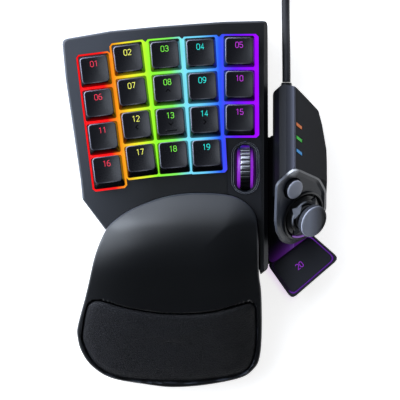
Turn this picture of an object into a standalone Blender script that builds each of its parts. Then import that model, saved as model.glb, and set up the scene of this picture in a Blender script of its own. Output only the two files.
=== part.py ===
"""Gaming keypad for the left hand, with a thumb module and a sliding palm rest.

Metres, +Z up, +Y to the rear. The origin is on the desk, under the middle of the plan.
"""
import math

import bmesh
import bpy
from mathutils import Matrix, Vector

# Fits and walls
GAP = 0.0003
OVERRUN = 0.004
WALL = 0.002

# Plan, which every outline below is a table of shares of
PLAN_WIDTH = 0.153
PLAN_LENGTH = 0.2032
HOUSING_SHARES = (
    (-0.499, 0.449), (-0.486, 0.344), (-0.458, 0.203), (-0.432, 0.069), (-0.425, 0.016),
    (-0.330, -0.079), (0.131, -0.197), (0.217, -0.188), (0.244, -0.172), (0.244, 0.191),
    (0.242, 0.500), (0.080, 0.497), (-0.145, 0.485), (-0.324, 0.472),
)
BASE_SHARES = (
    (-0.499, 0.449), (-0.486, 0.344), (-0.458, 0.203), (-0.432, 0.069), (-0.425, 0.016),
    (-0.330, -0.079), (-0.357, -0.138), (-0.379, -0.226), (0.196, -0.226), (0.196, -0.199),
    (0.246, -0.170), (0.405, -0.081), (0.435, -0.059), (0.458, 0.016), (0.459, 0.119),
    (0.442, 0.220), (0.428, 0.258), (0.340, 0.320), (0.294, 0.327), (0.260, 0.305),
    (0.260, 0.191), (0.244, 0.191), (0.242, 0.500), (0.080, 0.497), (-0.145, 0.485),
    (-0.324, 0.472),
)
MODULE_SHARES = (
    (0.260, -0.025), (0.260, 0.305), (0.294, 0.327), (0.340, 0.320), (0.428, 0.258),
    (0.442, 0.220), (0.458, 0.151), (0.459, 0.119), (0.458, 0.016), (0.431, -0.059),
    (0.359, -0.059),
)
CONTROL_SHARES = (
    (0.333, 0.102), (0.429, 0.072), (0.455, 0.038), (0.456, -0.010), (0.431, -0.059),
    (0.379, -0.091), (0.327, -0.108), (0.290, -0.100), (0.269, -0.072), (0.263, -0.043),
    (0.265, 0.057),
)
SKIRT_SHARES = (
    (0.247, 0.190), (0.247, -0.168), (0.402, -0.080), (0.433, -0.059), (0.444, 0.000),
    (0.392, 0.190),
)
PALM_SHARES = (
    (-0.337, -0.069), (-0.295, -0.036), (-0.230, -0.007), (-0.120, 0.022), (-0.010, 0.031),
    (0.101, 0.025), (0.161, 0.005), (0.197, -0.031), (0.205, -0.077), (0.210, -0.181),
    (0.220, -0.243), (0.223, -0.346), (0.216, -0.417), (0.194, -0.450), (0.144, -0.475),
    (0.018, -0.494), (-0.103, -0.500), (-0.202, -0.492), (-0.324, -0.475), (-0.395, -0.442),
    (-0.433, -0.401), (-0.447, -0.359), (-0.444, -0.326), (-0.412, -0.239), (-0.378, -0.139),
)
PAD_SHARES = (
    (-0.376, -0.2605), (-0.340, -0.265), (-0.261, -0.282), (-0.120, -0.297), (0.033, -0.293),
    (0.150, -0.271), (0.180, -0.2665), (0.195, -0.2775), (0.199, -0.300), (0.197, -0.401),
    (0.156, -0.459), (0.033, -0.480), (-0.092, -0.485), (-0.285, -0.475), (-0.378, -0.438),
    (-0.422, -0.379), (-0.425, -0.346), (-0.412, -0.291), (-0.401, -0.2705),
)
CORNER_RADIUS = 0.003
STRAIGHT_TURN_DEG = 12
CORNER_REACH_SHARE = 0.45
CORNER_STEPS = 1

# Housing, from the desk up
FOOT_HEIGHT = 0.0015
SPLIT_HEIGHT = 0.014
DECK_HEIGHT = 0.038
DECK_WALL = 0.0022
DECK_EDGE = 0.0012
DECK_TAPER = 0.001
BASE_TAPER = 0.0025
BASE_FLOOR = 0.002
SIDE_BEVEL = 0.0024
TONGUE_HEIGHT = 0.009

# Keys
KEY_ROWS = 4
KEY_PITCH = 0.0188
KEY_GAP = 0.0013
KEY_WIDTH = 0.0172
KEY_HEIGHT = 0.0066
KEY_TRAVEL = 0.003
KEY_WALL = 0.0012
KEY_TOP_WIDTH = 0.0152
KEY_TOP_DEPTH = 0.0144
KEY_SHIFT = 0.0002
KEY_ROW_SHIFT = 0.00045
KEY_DISH = 0.0009
KEY_HOLLOW_SHARE = 0.5
KEY_CORNER = 0.0012
KEY_LIFT = 0.0004
GRID_X = -0.0194
GRID_Y = 0.0823
COLUMN_LEANS_DEG = (7.2, 7.2, 4.8, 3.4, 0.4)
COLUMN_KEYS = (4, 4, 4, 4, 3)
COLUMN_START_SHARES = ((-2.048, -0.441), (-1.074, -0.106), (0, 0), (1.037, 0.059), (2.160, 0.112))
WELL_MARGIN = 0.001
WELL_SIDE = 0.0012
WELL_SIDE_SHARES = ((1, 1), (1, 1.75), (1.75, 1.5), (1.5, 2.3), (2.3, 1))
WELL_CORNER = 0.0015
WELL_STEP = 0.0003
PLATE_MARGIN = 0.0028
PLATE_THICKNESS = 0.0015
SLEEVE_LENGTH = 0.0055
SLEEVE_WALL = 0.0012
STEM_WIDTH = 0.0058
STEM_PROUD = 0.0005
STEM_CORNER = 0.0004
DOME_HEIGHT = 0.0036
DOME_BASE_RADIUS = 0.0045
DOME_TOP_RADIUS = 0.0026
DOME_SHEET = 0.0006
BOARD_THICKNESS = 0.0016

# Scroll wheel and its panel
WHEEL_SHIFT_X = 0.0032
WHEEL_SHIFT_Y = 0.0264
WHEEL_RADIUS = 0.0125
WHEEL_PROUD = 0.005
WHEEL_PRESS = 0.0008
TREAD_WIDTH = 0.0053
TREAD_WALL = 0.0019
TREAD_RIBS = 20
RIB_HEIGHT = 0.0007
RIM_WIDTH = 0.0086
RIM_LIP = 0.0009
RIM_EDGE = 0.0004
AXLE_RADIUS = 0.0015
AXLE_LENGTH = 0.015
CRADLE_WALL = 0.0016
CRADLE_DEPTH = 0.008
CRADLE_FLOOR = 0.0018
GUIDE_PIN = 0.002
GUIDE_LENGTH = 0.006
GUIDE_POST = 0.010
SLOT_WIDTH = 0.0096
SLOT_CLEARANCE = 0.0014
BEZEL_WIDTH = 0.0154
BEZEL_END = 0.0017
BEZEL_PROUD = 0.0005
BEZEL_GROOVE = 0.0008
BEZEL_FLARE_SHARE = 0.5
PANEL_THICKNESS = 0.001
PANEL_LEFT = 0.0098
PANEL_RIGHT = 0.009
PANEL_REAR = 0.0172
PANEL_FRONT = 0.0288

# Thumb module: the control face is a tilted plane through its stick
CONTROL_X_SHARE = 0.358
CONTROL_Y_SHARE = -0.024
CONTROL_HEIGHT = 0.0362
CONTROL_TILT_DEG = 46
CONTROL_HEADING_DEG = -30
CONTROL_THICKNESS = 0.0026
CONTROL_EDGE = 0.0012
CONTROL_RIM = 0.0018
CONTROL_DIP = 0.0006
RIDGE_X_SHARE = 0.335
RIDGE_Y_SHARE = 0.102
RIDGE_FALL_SHARE = 0.2
FACET_FALL_SHARE = 1.19
SHOULDER_DROP = 0.012
REAR_OVERLAP = 0.016
FRONT_STEP = 0.0004
SKIRT_HEIGHT = 0.030
SKIRT_FRONT_HEIGHT = 0.0225
SKIRT_SLOPE_RUN = 0.014
BUTTON_U = 0.0099
BUTTON_V = 0.0182
BUTTON_RADIUS = 0.0054
BUTTON_PROUD = 0.0022
BUTTON_DEPTH = 0.0042
BUTTON_STEM = 0.0012
BUTTON_TRAVEL = 0.0012
BUTTON_GAP = 0.0009
BUTTON_EDGE = 0.0012
COLLAR_RADIUS = 0.0131
DISC_RADIUS = 0.012
DISC_LOW = 0.0024
DISC_HOLLOW = 0.0048
DISC_RIM = 0.0016
DISC_CROWN = 0.0066
DISC_HUB = 0.0065
NOTCH_WIDTH = 0.005
NOTCH_DEPTH = 0.0036
STICK_SHAFT = 0.003
STICK_CAP_RADIUS = 0.0092
STICK_CAP_LOW = 0.0086
STICK_CAP_HEIGHT = 0.004
STICK_CAP_EDGE = 0.0008
STICK_CAP_LIP = 0.002
STICK_DISH = 0.0009
GIMBAL_SIZE = 0.0115
GIMBAL_HOLE = 0.0082
GIMBAL_THICKNESS = 0.0024
GIMBAL_POST = 0.002
GIMBAL_PIN = 0.0006
GIMBAL_DROP = 0.0024
THUMB_BOARD_DROP = 0.0075
THUMB_BOARD_FRONT = 0.009
INDICATOR_COUNT = 3
INDICATOR_X_SHARE = 0.3535
INDICATOR_Y_SHARE = 0.178
INDICATOR_PITCH = 0.0072
INDICATOR_WIDTH = 0.003
INDICATOR_LENGTH = 0.0016
INDICATOR_SLANT = 0.0022
INDICATOR_DEPTH = 0.0032

# Key 20, a paddle that swings about a pin inside the module's skirt
PADDLE_X_SHARE = 0.3275
PADDLE_Y_SHARE = -0.1257
PADDLE_TURN_DEG = 37.5
PADDLE_ROOT_WIDTH = 0.0296
PADDLE_REACH = 0.0209
PADDLE_FLARE = 0.0033
PADDLE_SKEW = 0.0010
PADDLE_SLANT = 0.001
PADDLE_LOW = 0.0152
PADDLE_THICKNESS = 0.004
PADDLE_EDGE = 0.0005
PADDLE_TAIL_WIDTH = 0.014
PADDLE_TAIL_SHIFT = 0.0048
PADDLE_TAIL_LENGTH = 0.0095
PADDLE_NECK = 0.002
PADDLE_GAP = 0.0008
PADDLE_TAIL_STEP = 0.0004
PIN_BACK = 0.007
PIN_RADIUS = 0.001
LUG_WIDTH = 0.0026
LUG_DEPTH = 0.005
LIGHT_INSET = 0.0013
LIGHT_WIDTH = 0.0006
LIGHT_DEPTH = 0.0009

# Palm rest
PALM_CLEARANCE = 0.0008
PALM_HEIGHT = 0.051
PALM_PROFILE_SHARES = (
    (0.05, 0.93), (-0.06, 1.0), (-0.16, 0.93), (-0.26, 0.74), (-0.36, 0.56), (-0.45, 0.45), (-0.52, 0.40),
)
PALM_REAR_ROLL = 0.013
PALM_FRONT_ROLL = 0.006
PALM_LIP = 0.0006
PALM_BASE_INSET = 0.0016
PALM_RING_SHARES = (0, 0.012, 0.04, 0.09, 0.16, 0.27, 0.45, 0.72)
PAD_DEPTH = 0.003
PAD_GROOVE = 0.0009
PAD_SEAT_GAP = 0.0011
PAD_PROUD = 0.0012
PAD_ROLL = 0.006
PAD_RING_SHARES = (0, 0.03, 0.08, 0.16, 0.3, 0.52, 0.78)
PAD_UNDER_SHARES = (0, 0.08, 0.3, 0.7)
HOLLOW_RING_SHARES = (0, 0.03, 0.1, 0.24, 0.55)
RAIL_WIDTH = 0.008
RAIL_HEIGHT = 0.0028
RAIL_LENGTH = 0.032
RAIL_SPREAD = 0.042
RAIL_X_SHARE = -0.09

# Feet and screws
FOOT_LENGTH = 0.016
FOOT_WIDTH = 0.009
PALM_FOOT_LENGTH = 0.056
FOOT_CORNER = 0.003
FOOT_AT_SHARES = (
    ("foot_rear_left", -0.37, 0.40), ("foot_rear_right", 0.15, 0.44), ("foot_thumb", 0.38, 0.13),
)
PALM_FOOT_X_SHARE = -0.11
PALM_FOOT_Y_SHARE = -0.43
SCREW_AT_SHARES = (
    ("screw_rear_left", -0.3987, 0.4375), ("screw_front_left", -0.366, 0.005),
    ("screw_centre", 0.0654, 0.0615), ("screw_thumb", 0.3987, 0.2264),
)
SCREW_RADIUS = 0.001
SCREW_HEAD_RADIUS = 0.0019
SCREW_HEAD_HEIGHT = 0.0012
SCREW_BITE = 0.006
SCREW_SEAT = 0.0048
BOSS_RADIUS = 0.0028

# Cord
CORD_DIAMETER = 0.0046
CORD_EXIT_X_SHARE = 0.3125
CORD_EXIT_HEIGHT = 0.021
CORD_LIFT = 0.0001
CORD_ROUTE_SHARES = ((0.18, 0.7), (0.36, 0.26), (0.52, 0.05), (0.68, 0), (0.84, 0))
GLAND_RADIUS = 0.0033
GLAND_END_RADIUS = 0.0028
GLAND_LENGTH = 0.008
GLAND_FLANGE = 0.0042
GLAND_PROUD = 0.0026
COIL_INNER_RADIUS = 0.0195
COIL_PITCH = 0.0052
COIL_LAYERS = 4
COIL_TURNS_A_LAYER = 3
COIL_POINTS_A_TURN = 24
COIL_Y = 0.1665
COIL_LIFT = 0.0011
COIL_CROSS_TURN = 0.29
COIL_END_CLIMB = 0.0068
COIL_END_CLIMB_SHARE = 0.15
TIE_WIDTH = 0.006
TIE_SLACK = 0.0004
TIE_THICKNESS = 0.0008
PLUG_GRIP_LENGTH = 0.024
PLUG_GRIP_WIDTH = 0.0135
PLUG_GRIP_HEIGHT = 0.0078
PLUG_GRIP_TAPER = 0.0032
PLUG_GRIP_WALL = 0.0004
PLUG_MOUTH_STEP = 0.0012
PLUG_SHELL_LENGTH = 0.0175
PLUG_SHELL_WIDTH = 0.012
PLUG_SHELL_HEIGHT = 0.0045
PLUG_SHELL_WALL = 0.0004
ROUND_STEPS = 24

# Heights that follow from the sizes above
BASE_BOTTOM = FOOT_HEIGHT + GAP
BASE_INSIDE = BASE_BOTTOM + BASE_FLOOR
SHELL_BOTTOM = SPLIT_HEIGHT + GAP
PLATE_TOP = DECK_HEIGHT - DECK_WALL - GAP
PLATE_LOW = PLATE_TOP - PLATE_THICKNESS
STEM_LOW = PLATE_LOW - SLEEVE_LENGTH - STEM_PROUD
DOME_TOP = STEM_LOW - GAP
SHEET_TOP = DOME_TOP - DOME_HEIGHT
SHEET_LOW = SHEET_TOP - DOME_SHEET
BOARD_TOP = SHEET_LOW - GAP
CAP_LOW = PLATE_TOP + KEY_TRAVEL + KEY_LIFT
WHEEL_HEIGHT = DECK_HEIGHT + WHEEL_PROUD - WHEEL_RADIUS
PALM_BOTTOM = TONGUE_HEIGHT + PALM_LIP

# Colours and finishes: red, green, blue, roughness, metallic
FINISHES = {
    "housing": (0.032, 0.034, 0.042, 0.42, 0.0),
    "keys": (0.022, 0.023, 0.027, 0.38, 0.0),
    "light": (0.62, 0.08, 0.95, 0.3, 0.0),
    "trim": (0.075, 0.080, 0.098, 0.33, 0.0),
    "grey": (0.125, 0.135, 0.17, 0.4, 0.0),
    "gloss": (0.012, 0.012, 0.014, 0.12, 0.0),
    "rubber": (0.02, 0.02, 0.021, 0.8, 0.0),
    "silicone": (0.55, 0.56, 0.57, 0.6, 0.0),
    "board": (0.02, 0.09, 0.04, 0.5, 0.0),
    "steel": (0.55, 0.56, 0.58, 0.3, 1.0),
    "leather": (0.018, 0.018, 0.021, 0.55, 0.0),
    "cord": (0.012, 0.012, 0.014, 0.7, 0.0),
}


def clear_scene():
    """Empty the file."""
    for item in list(bpy.data.objects):
        bpy.data.objects.remove(item)


def finish(name, look):
    """A piece's own material, with a finish from the table."""
    made = bpy.data.materials.new(name)
    made.use_nodes = True
    red, green, blue, roughness, metallic = FINISHES[look]
    shader = made.node_tree.nodes["Principled BSDF"]
    shader.inputs["Base Color"].default_value = (red, green, blue, 1)
    shader.inputs["Roughness"].default_value = roughness
    shader.inputs["Metallic"].default_value = metallic
    made.diffuse_color = (red, green, blue, 1)
    return made


def place(name, data, look=None, parent=None, at=(0, 0, 0), turn=(0, 0, 0)):
    """Put data in the scene as a named piece, or as a hidden tool when it has no look."""
    item = bpy.data.objects.new(name, data)
    bpy.context.scene.collection.objects.link(item)
    item.parent = parent
    item.location = at
    item.rotation_euler = turn
    if look:
        data.materials.append(finish(name, look))
    else:
        item.hide_render = True
        item.display_type = "WIRE"
    return item


def boolean(item, tool, operation="DIFFERENCE"):
    """Join, cut or trim a piece with a hidden tool."""
    tool.hide_render = True
    tool.display_type = "WIRE"
    step = item.modifiers.new(tool.name, "BOOLEAN")
    step.operation = operation
    step.object = tool


def empty(name, at, turn=(0, 0, 0), parent=None):
    """A frame that pieces are placed in."""
    item = bpy.data.objects.new(name, None)
    bpy.context.scene.collection.objects.link(item)
    item.parent = parent
    item.location = at
    item.rotation_euler = turn
    return item


def spot(x_share, y_share):
    """A point of the plan."""
    return Vector((x_share * PLAN_WIDTH, y_share * PLAN_LENGTH))


def facing_up(points):
    """The same outline, counter-clockwise."""
    pairs = zip(points, points[1:] + points[:1])
    area = sum(a.x * b.y - a.y * b.x for a, b in pairs)
    return points if area > 0 else points[::-1]


def outline(shares):
    """The points of a table of plan shares, counter-clockwise."""
    return facing_up([spot(x, y) for x, y in shares])


def left_of(edge):
    """The unit vector to the left of an edge."""
    return Vector((-edge.y, edge.x)).normalized()


def inset(points, distance):
    """Move every edge of a counter-clockwise outline inwards."""
    loop = []
    for before, here, after in zip(points[-1:] + points[:-1], points, points[1:] + points[:1]):
        a, b = left_of(here - before), left_of(after - here)
        loop.append(here + (a + b) * (distance / (1 + a.dot(b))))
    return loop


def rounded(points, radius=CORNER_RADIUS, steps=3):
    """Round the corners of an outline that turn noticeably."""
    loop = []
    for before, here, after in zip(points[-1:] + points[:-1], points, points[1:] + points[:1]):
        back, on = before - here, after - here
        turn = math.pi - back.angle(on)
        if turn < math.radians(STRAIGHT_TURN_DEG):
            loop.append(here)
            continue
        longest = CORNER_REACH_SHARE * min(back.length, on.length)
        reach = min(radius * math.tan(turn / 2), longest)
        start, end = here + back.normalized() * reach, here + on.normalized() * reach
        for k in range(steps + 1):
            t = k / steps
            loop.append(start * (1 - t) ** 2 + here * (2 * t * (1 - t)) + end * t ** 2)
    return loop


def between(a, b, c, d, t):
    """A smooth value part of the way from b to c."""
    bend = (2 * a - 5 * b + 4 * c - d) * t ** 2 + (3 * b - a - 3 * c + d) * t ** 3
    return (2 * b + (c - a) * t + bend) / 2


def smooth_loop(points, per_span):
    """A closed smooth curve through hand-placed points."""
    loop = []
    count = len(points)
    for i in range(count):
        a, b, c, d = (points[(i + k) % count] for k in (-1, 0, 1, 2))
        loop += [between(a, b, c, d, k / per_span) for k in range(per_span)]
    return loop


def box_loop(width, depth, shift_x=0.0, shift_y=0.0):
    """Four corners about a centre, counter-clockwise."""
    x, y = width / 2, depth / 2
    corners = ((-x, -y), (x, -y), (x, y), (-x, y))
    return [Vector((shift_x + a, shift_y + b)) for a, b in corners]


def circle(radius, steps=ROUND_STEPS):
    """A round outline."""
    turns = [math.tau * k / steps for k in range(steps)]
    return [Vector((radius * math.cos(t), radius * math.sin(t))) for t in turns]


def stadium(width, length, steps=8):
    """A slot outline with its round ends along Y."""
    radius = width / 2
    run = length / 2 - radius
    loop = []
    for side in (1, -1):
        for k in range(steps + 1):
            t = math.pi * k / steps
            loop.append(Vector((side * radius * math.cos(t), side * (run + radius * math.sin(t)))))
    return loop


def at_height(loop, height):
    """Lift a plan loop to one height."""
    return [Vector((p.x, p.y, height)) for p in loop]


def skin(name, rings, low_tip=None, high_tip=None, closed=False, sharp_deg=35):
    """Skin a stack of rings into one closed mesh, with flat ends, tips or a closed round."""
    shape = bmesh.new()
    rows = [[shape.verts.new(p) for p in ring] for ring in rings]
    count = len(rows[0])
    pairs = list(zip(rows, rows[1:]))
    if closed:
        pairs.append((rows[-1], rows[0]))
    for low, high in pairs:
        for i in range(count):
            j = (i + 1) % count
            shape.faces.new((low[i], low[j], high[j], high[i]))
    for row, tip in () if closed else ((rows[0], low_tip), (rows[-1], high_tip)):
        if tip is None:
            shape.faces.new(row)
            continue
        point = shape.verts.new(tip)
        for i in range(count):
            shape.faces.new((row[i], row[(i + 1) % count], point))
    bmesh.ops.recalc_face_normals(shape, faces=shape.faces)
    mesh = bpy.data.meshes.new(name)
    shape.to_mesh(mesh)
    shape.free()
    mesh.shade_smooth()
    mesh.set_sharp_from_angle(angle=math.radians(sharp_deg))
    return mesh


def joined(name, meshes):
    """Several separate bodies in one mesh, for one cut or one union."""
    shape = bmesh.new()
    for mesh in meshes:
        shape.from_mesh(mesh)
    whole = bpy.data.meshes.new(name)
    shape.to_mesh(whole)
    shape.free()
    return whole


def moved(mesh, matrix):
    """The mesh, moved in place."""
    mesh.transform(matrix)
    return mesh


def prism(name, loop, low, high):
    """A flat outline between two heights."""
    return skin(name, [at_height(loop, low), at_height(loop, high)])


def ring_prism(name, outer, inner, low, high):
    """A flat ring between two outlines of equal count."""
    rings = [at_height(outer, low), at_height(outer, high), at_height(inner, high), at_height(inner, low)]
    return skin(name, rings, closed=True)


def turned(name, profile, steps=ROUND_STEPS, bored=False):
    """Turn (radius, height) points about Z; a bored profile closes on itself."""
    rings = [at_height(circle(radius, steps), height) for radius, height in profile]
    return skin(name, rings, closed=bored)


def curve_value(table, at):
    """A smooth value from a table of (place, value), places falling."""
    places = [row[0] for row in table]
    values = [row[1] for row in table]
    if at >= places[0]:
        return values[0]
    if at <= places[-1]:
        return values[-1]
    k = max(i for i in range(len(places) - 1) if places[i] >= at)
    t = (places[k] - at) / (places[k] - places[k + 1])
    a, b = values[max(k - 1, 0)], values[k]
    c, d = values[k + 1], values[min(k + 2, len(values) - 1)]
    return between(a, b, c, d, t)


def edge_distance(point, loop):
    """How far a plan point lies from an outline."""
    least = PLAN_LENGTH
    for a, b in zip(loop, loop[1:] + loop[:1]):
        run = b - a
        t = max(0, min(1, (point - a).dot(run) / run.length_squared))
        least = min(least, (point - a - run * t).length)
    return least


def middle_of(loop):
    """The mean point of an outline."""
    total = Vector((0, 0))
    for point in loop:
        total += point
    return total / len(loop)


def shrunk(loop, middle, share):
    """An outline drawn towards its middle."""
    return [point.lerp(middle, share) for point in loop]


def crowned(name, loop, top, bottom, top_shares, bottom_shares=(0,)):
    """A closed body between two height fields over an outline."""
    middle = middle_of(loop)
    rings = []
    for share in reversed(bottom_shares):
        rings.append([Vector((p.x, p.y, bottom(p))) for p in shrunk(loop, middle, share)])
    for share in top_shares:
        rings.append([Vector((p.x, p.y, top(p))) for p in shrunk(loop, middle, share)])
    low = Vector((middle.x, middle.y, bottom(middle)))
    high = Vector((middle.x, middle.y, top(middle)))
    return skin(name, rings, low_tip=low, high_tip=high)


# Key grid
def lean_of(column):
    """A column's lean, in radians."""
    return math.radians(COLUMN_LEANS_DEG[column])


def key_spot(column, row):
    """The plan point under a key."""
    x_share, y_share = COLUMN_START_SHARES[column]
    start = Vector((GRID_X + x_share * KEY_PITCH, GRID_Y + y_share * KEY_PITCH))
    lean = lean_of(column)
    return start + Vector((math.sin(lean), -math.cos(lean))) * (row * KEY_PITCH)


def column_block(name, column, margin, low, high, sides=(0, 0)):
    """A block over one column of keys, grown by a margin and a little more at its left and right."""
    left, right = sides
    last = COLUMN_KEYS[column] - 1
    centre = (key_spot(column, 0) + key_spot(column, last)) / 2
    side = WELL_SIDE if column == len(COLUMN_KEYS) - 1 else 0
    width = KEY_WIDTH + 2 * margin + side + left + right
    depth = (last + 1) * KEY_PITCH - KEY_GAP + 2 * margin
    loop = rounded(box_loop(width, depth, shift_x=(side + right - left) / 2), WELL_CORNER, CORNER_STEPS)
    turn = Matrix.Rotation(lean_of(column), 4, "Z")
    spread = column * WELL_STEP
    return moved(
        prism(name, loop, low - spread, high + spread),
        Matrix.Translation((centre.x, centre.y, 0)) @ turn,
    )


def well_block(name, column, grow, low, high):
    """The well of one column, wide enough to meet the wells beside it."""
    sides = [(share - 1) * WELL_MARGIN for share in WELL_SIDE_SHARES[column]]
    return column_block(name, column, WELL_MARGIN + grow, low, high, sides)


def grid_sheet(name, look, margin, low, high):
    """A sheet under the whole key grid."""
    sheet = place(name, grid_block(name, 0, margin, low, high), look)
    for column in range(1, len(COLUMN_KEYS)):
        tool = place(f"{name}_column_{column}", grid_block(f"{name}_column", column, margin, low, high))
        boolean(sheet, tool, "UNION")
    return sheet


def grid_block(name, column, margin, low, high):
    """A column's block with flat, level faces, for a sheet."""
    block = column_block(name, column, margin, low, high)
    for vertex in block.vertices:
        vertex.co.z = low if vertex.co.z < (low + high) / 2 else high
    return block


def at_each_key(name, make):
    """One mesh that holds make() at every key."""
    meshes = []
    for column, count in enumerate(COLUMN_KEYS):
        for row in range(count):
            point = key_spot(column, row)
            turn = Matrix.Rotation(lean_of(column), 4, "Z")
            meshes.append(moved(make(), Matrix.Translation((point.x, point.y, 0)) @ turn))
    return joined(name, meshes)


def key_mesh(row):
    """A hollow cap with a dished top and a square stem, base at zero."""
    shift = KEY_SHIFT + row * KEY_ROW_SHIFT
    depth = KEY_PITCH - KEY_GAP
    skirt = rounded(box_loop(KEY_WIDTH, depth), KEY_CORNER, CORNER_STEPS)
    edge = rounded(box_loop(KEY_TOP_WIDTH, KEY_TOP_DEPTH, shift_y=shift), KEY_CORNER, CORNER_STEPS)
    inner = rounded(box_loop(KEY_WIDTH - 2 * KEY_WALL, depth - 2 * KEY_WALL), KEY_CORNER, CORNER_STEPS)
    roof_width, roof_depth = KEY_TOP_WIDTH - 2 * KEY_WALL, KEY_TOP_DEPTH - 2 * KEY_WALL
    roof = rounded(box_loop(roof_width, roof_depth, shift_y=shift), KEY_CORNER, CORNER_STEPS)
    stem = rounded(box_loop(STEM_WIDTH, STEM_WIDTH), STEM_CORNER, CORNER_STEPS)
    middle = Vector((0, shift))
    top = shrunk(edge, middle, 2 * KEY_DISH / KEY_TOP_WIDTH)
    hollow = shrunk(edge, middle, KEY_HOLLOW_SHARE)
    ceiling = KEY_HEIGHT - KEY_WALL - KEY_DISH
    rings = [
        at_height(stem, STEM_LOW - CAP_LOW),
        at_height(stem, ceiling),
        at_height(roof, ceiling),
        at_height(inner, 0),
        at_height(skirt, 0),
        at_height(edge, KEY_HEIGHT - KEY_DISH),
        at_height(top, KEY_HEIGHT),
        at_height(hollow, KEY_HEIGHT - KEY_DISH / 2),
    ]
    return skin(f"key_row_{row}", rings, high_tip=Vector((0, shift, KEY_HEIGHT - KEY_DISH)), sharp_deg=30)


def make_keys():
    """Nineteen keys, numbered along the rows."""
    shapes = [key_mesh(row) for row in range(KEY_ROWS)]
    for shape in shapes:
        shape.materials.append(None)
    number = 0
    for row in range(KEY_ROWS):
        for column, count in enumerate(COLUMN_KEYS):
            if row >= count:
                continue
            number += 1
            point = key_spot(column, row)
            key = bpy.data.objects.new(f"key_{number:02d}", shapes[row])
            bpy.context.scene.collection.objects.link(key)
            key.location = (point.x, point.y, CAP_LOW)
            key.rotation_euler = (0, 0, lean_of(column))
            key.material_slots[0].link = "OBJECT"
            key.material_slots[0].material = finish(key.name, "keys")


def make_key_support():
    """Light plate with guide sleeves, dome sheet and circuit board."""
    sleeve = STEM_WIDTH + 2 * GAP + 2 * SLEEVE_WALL
    plate = grid_sheet("light_plate", "light", PLATE_MARGIN, PLATE_LOW, PLATE_TOP)
    sleeves = at_each_key(
        "sleeves",
        lambda: prism(
            "sleeve", box_loop(sleeve, sleeve), PLATE_LOW - SLEEVE_LENGTH, PLATE_LOW + PLATE_THICKNESS / 2
        ),
    )
    bore = STEM_WIDTH + 2 * GAP
    bores = at_each_key(
        "bores",
        lambda: prism("bore", box_loop(bore, bore), PLATE_LOW - SLEEVE_LENGTH - OVERRUN, PLATE_TOP + OVERRUN),
    )
    boolean(plate, place("sleeve_blocks", sleeves), "UNION")
    boolean(plate, place("sleeve_bores", bores))
    sheet = grid_sheet("dome_sheet", "silicone", PLATE_MARGIN, SHEET_LOW, SHEET_TOP)
    dome = ((DOME_BASE_RADIUS, SHEET_TOP - DOME_SHEET / 2), (DOME_TOP_RADIUS, DOME_TOP))
    domes = at_each_key("domes", lambda: turned("dome", dome, steps=8))
    boolean(sheet, place("dome_blocks", domes), "UNION")
    grid_sheet("circuit_board", "board", PLATE_MARGIN, BOARD_TOP - BOARD_THICKNESS, BOARD_TOP)


# Palm rest
def palm_loop():
    """The palm rest's outline."""
    return smooth_loop(outline(PALM_SHARES), 2)


def pad_loop():
    """The pad's outline."""
    return smooth_loop(outline(PAD_SHARES), 2)


def palm_crest(point):
    """Height of the palm rest before its edges roll over."""
    return PALM_HEIGHT * curve_value(PALM_PROFILE_SHARES, point.y / PLAN_LENGTH)


def palm_top(loop):
    """Height field of the palm rest: a crest that rolls over at the edge."""
    def height(point):
        rear = max(0, min(1, point.y / PLAN_LENGTH + 1 / 2))
        roll = PALM_FRONT_ROLL + (PALM_REAR_ROLL - PALM_FRONT_ROLL) * math.sqrt(rear)
        share = min(1, edge_distance(point, loop) / roll)
        return palm_crest(point) - roll * (1 - math.sqrt(1 - (1 - share) ** 2))
    return height


def palm_prism(name, grow, low, high):
    """The space of the palm rest, grown on all sides."""
    return prism(name, inset(palm_loop(), -grow), low, high)


def make_palm_rest():
    """Shell, leather pad, base with two rails and a foot."""
    loop = palm_loop()
    top = palm_top(loop)
    roof = WALL + PAD_DEPTH
    shell = place(
        "palm_shell", crowned("palm_shell", loop, top, lambda p: PALM_BOTTOM, PALM_RING_SHARES), "housing"
    )
    hollow_loop = inset(loop, WALL)
    hollow_top = palm_top(hollow_loop)
    hollow = crowned(
        "palm_hollow", hollow_loop, lambda p: hollow_top(p) - roof, lambda p: PALM_BOTTOM - OVERRUN,
        HOLLOW_RING_SHARES,
    )
    boolean(shell, place("palm_hollow", hollow))
    pad = pad_loop()
    seat = crowned(
        "pad_seat", inset(pad, -PAD_GROOVE), lambda p: PALM_HEIGHT + OVERRUN, lambda p: top(p) - PAD_DEPTH,
        (0,), PAD_UNDER_SHARES,
    )
    boolean(shell, place("pad_seat", seat))

    def pad_top(point):
        share = min(1, edge_distance(point, pad) / PAD_ROLL)
        swell = math.sqrt(1 - (1 - share) ** 2)
        return top(point) + (PAD_PROUD + PAD_DEPTH / 2) * swell - PAD_DEPTH / 2

    cushion = crowned(
        "palm_pad", pad, pad_top, lambda p: top(p) - PAD_DEPTH + PAD_SEAT_GAP, PAD_RING_SHARES,
        PAD_UNDER_SHARES,
    )
    place("palm_pad", cushion, "leather")
    make_palm_base(loop)


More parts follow.
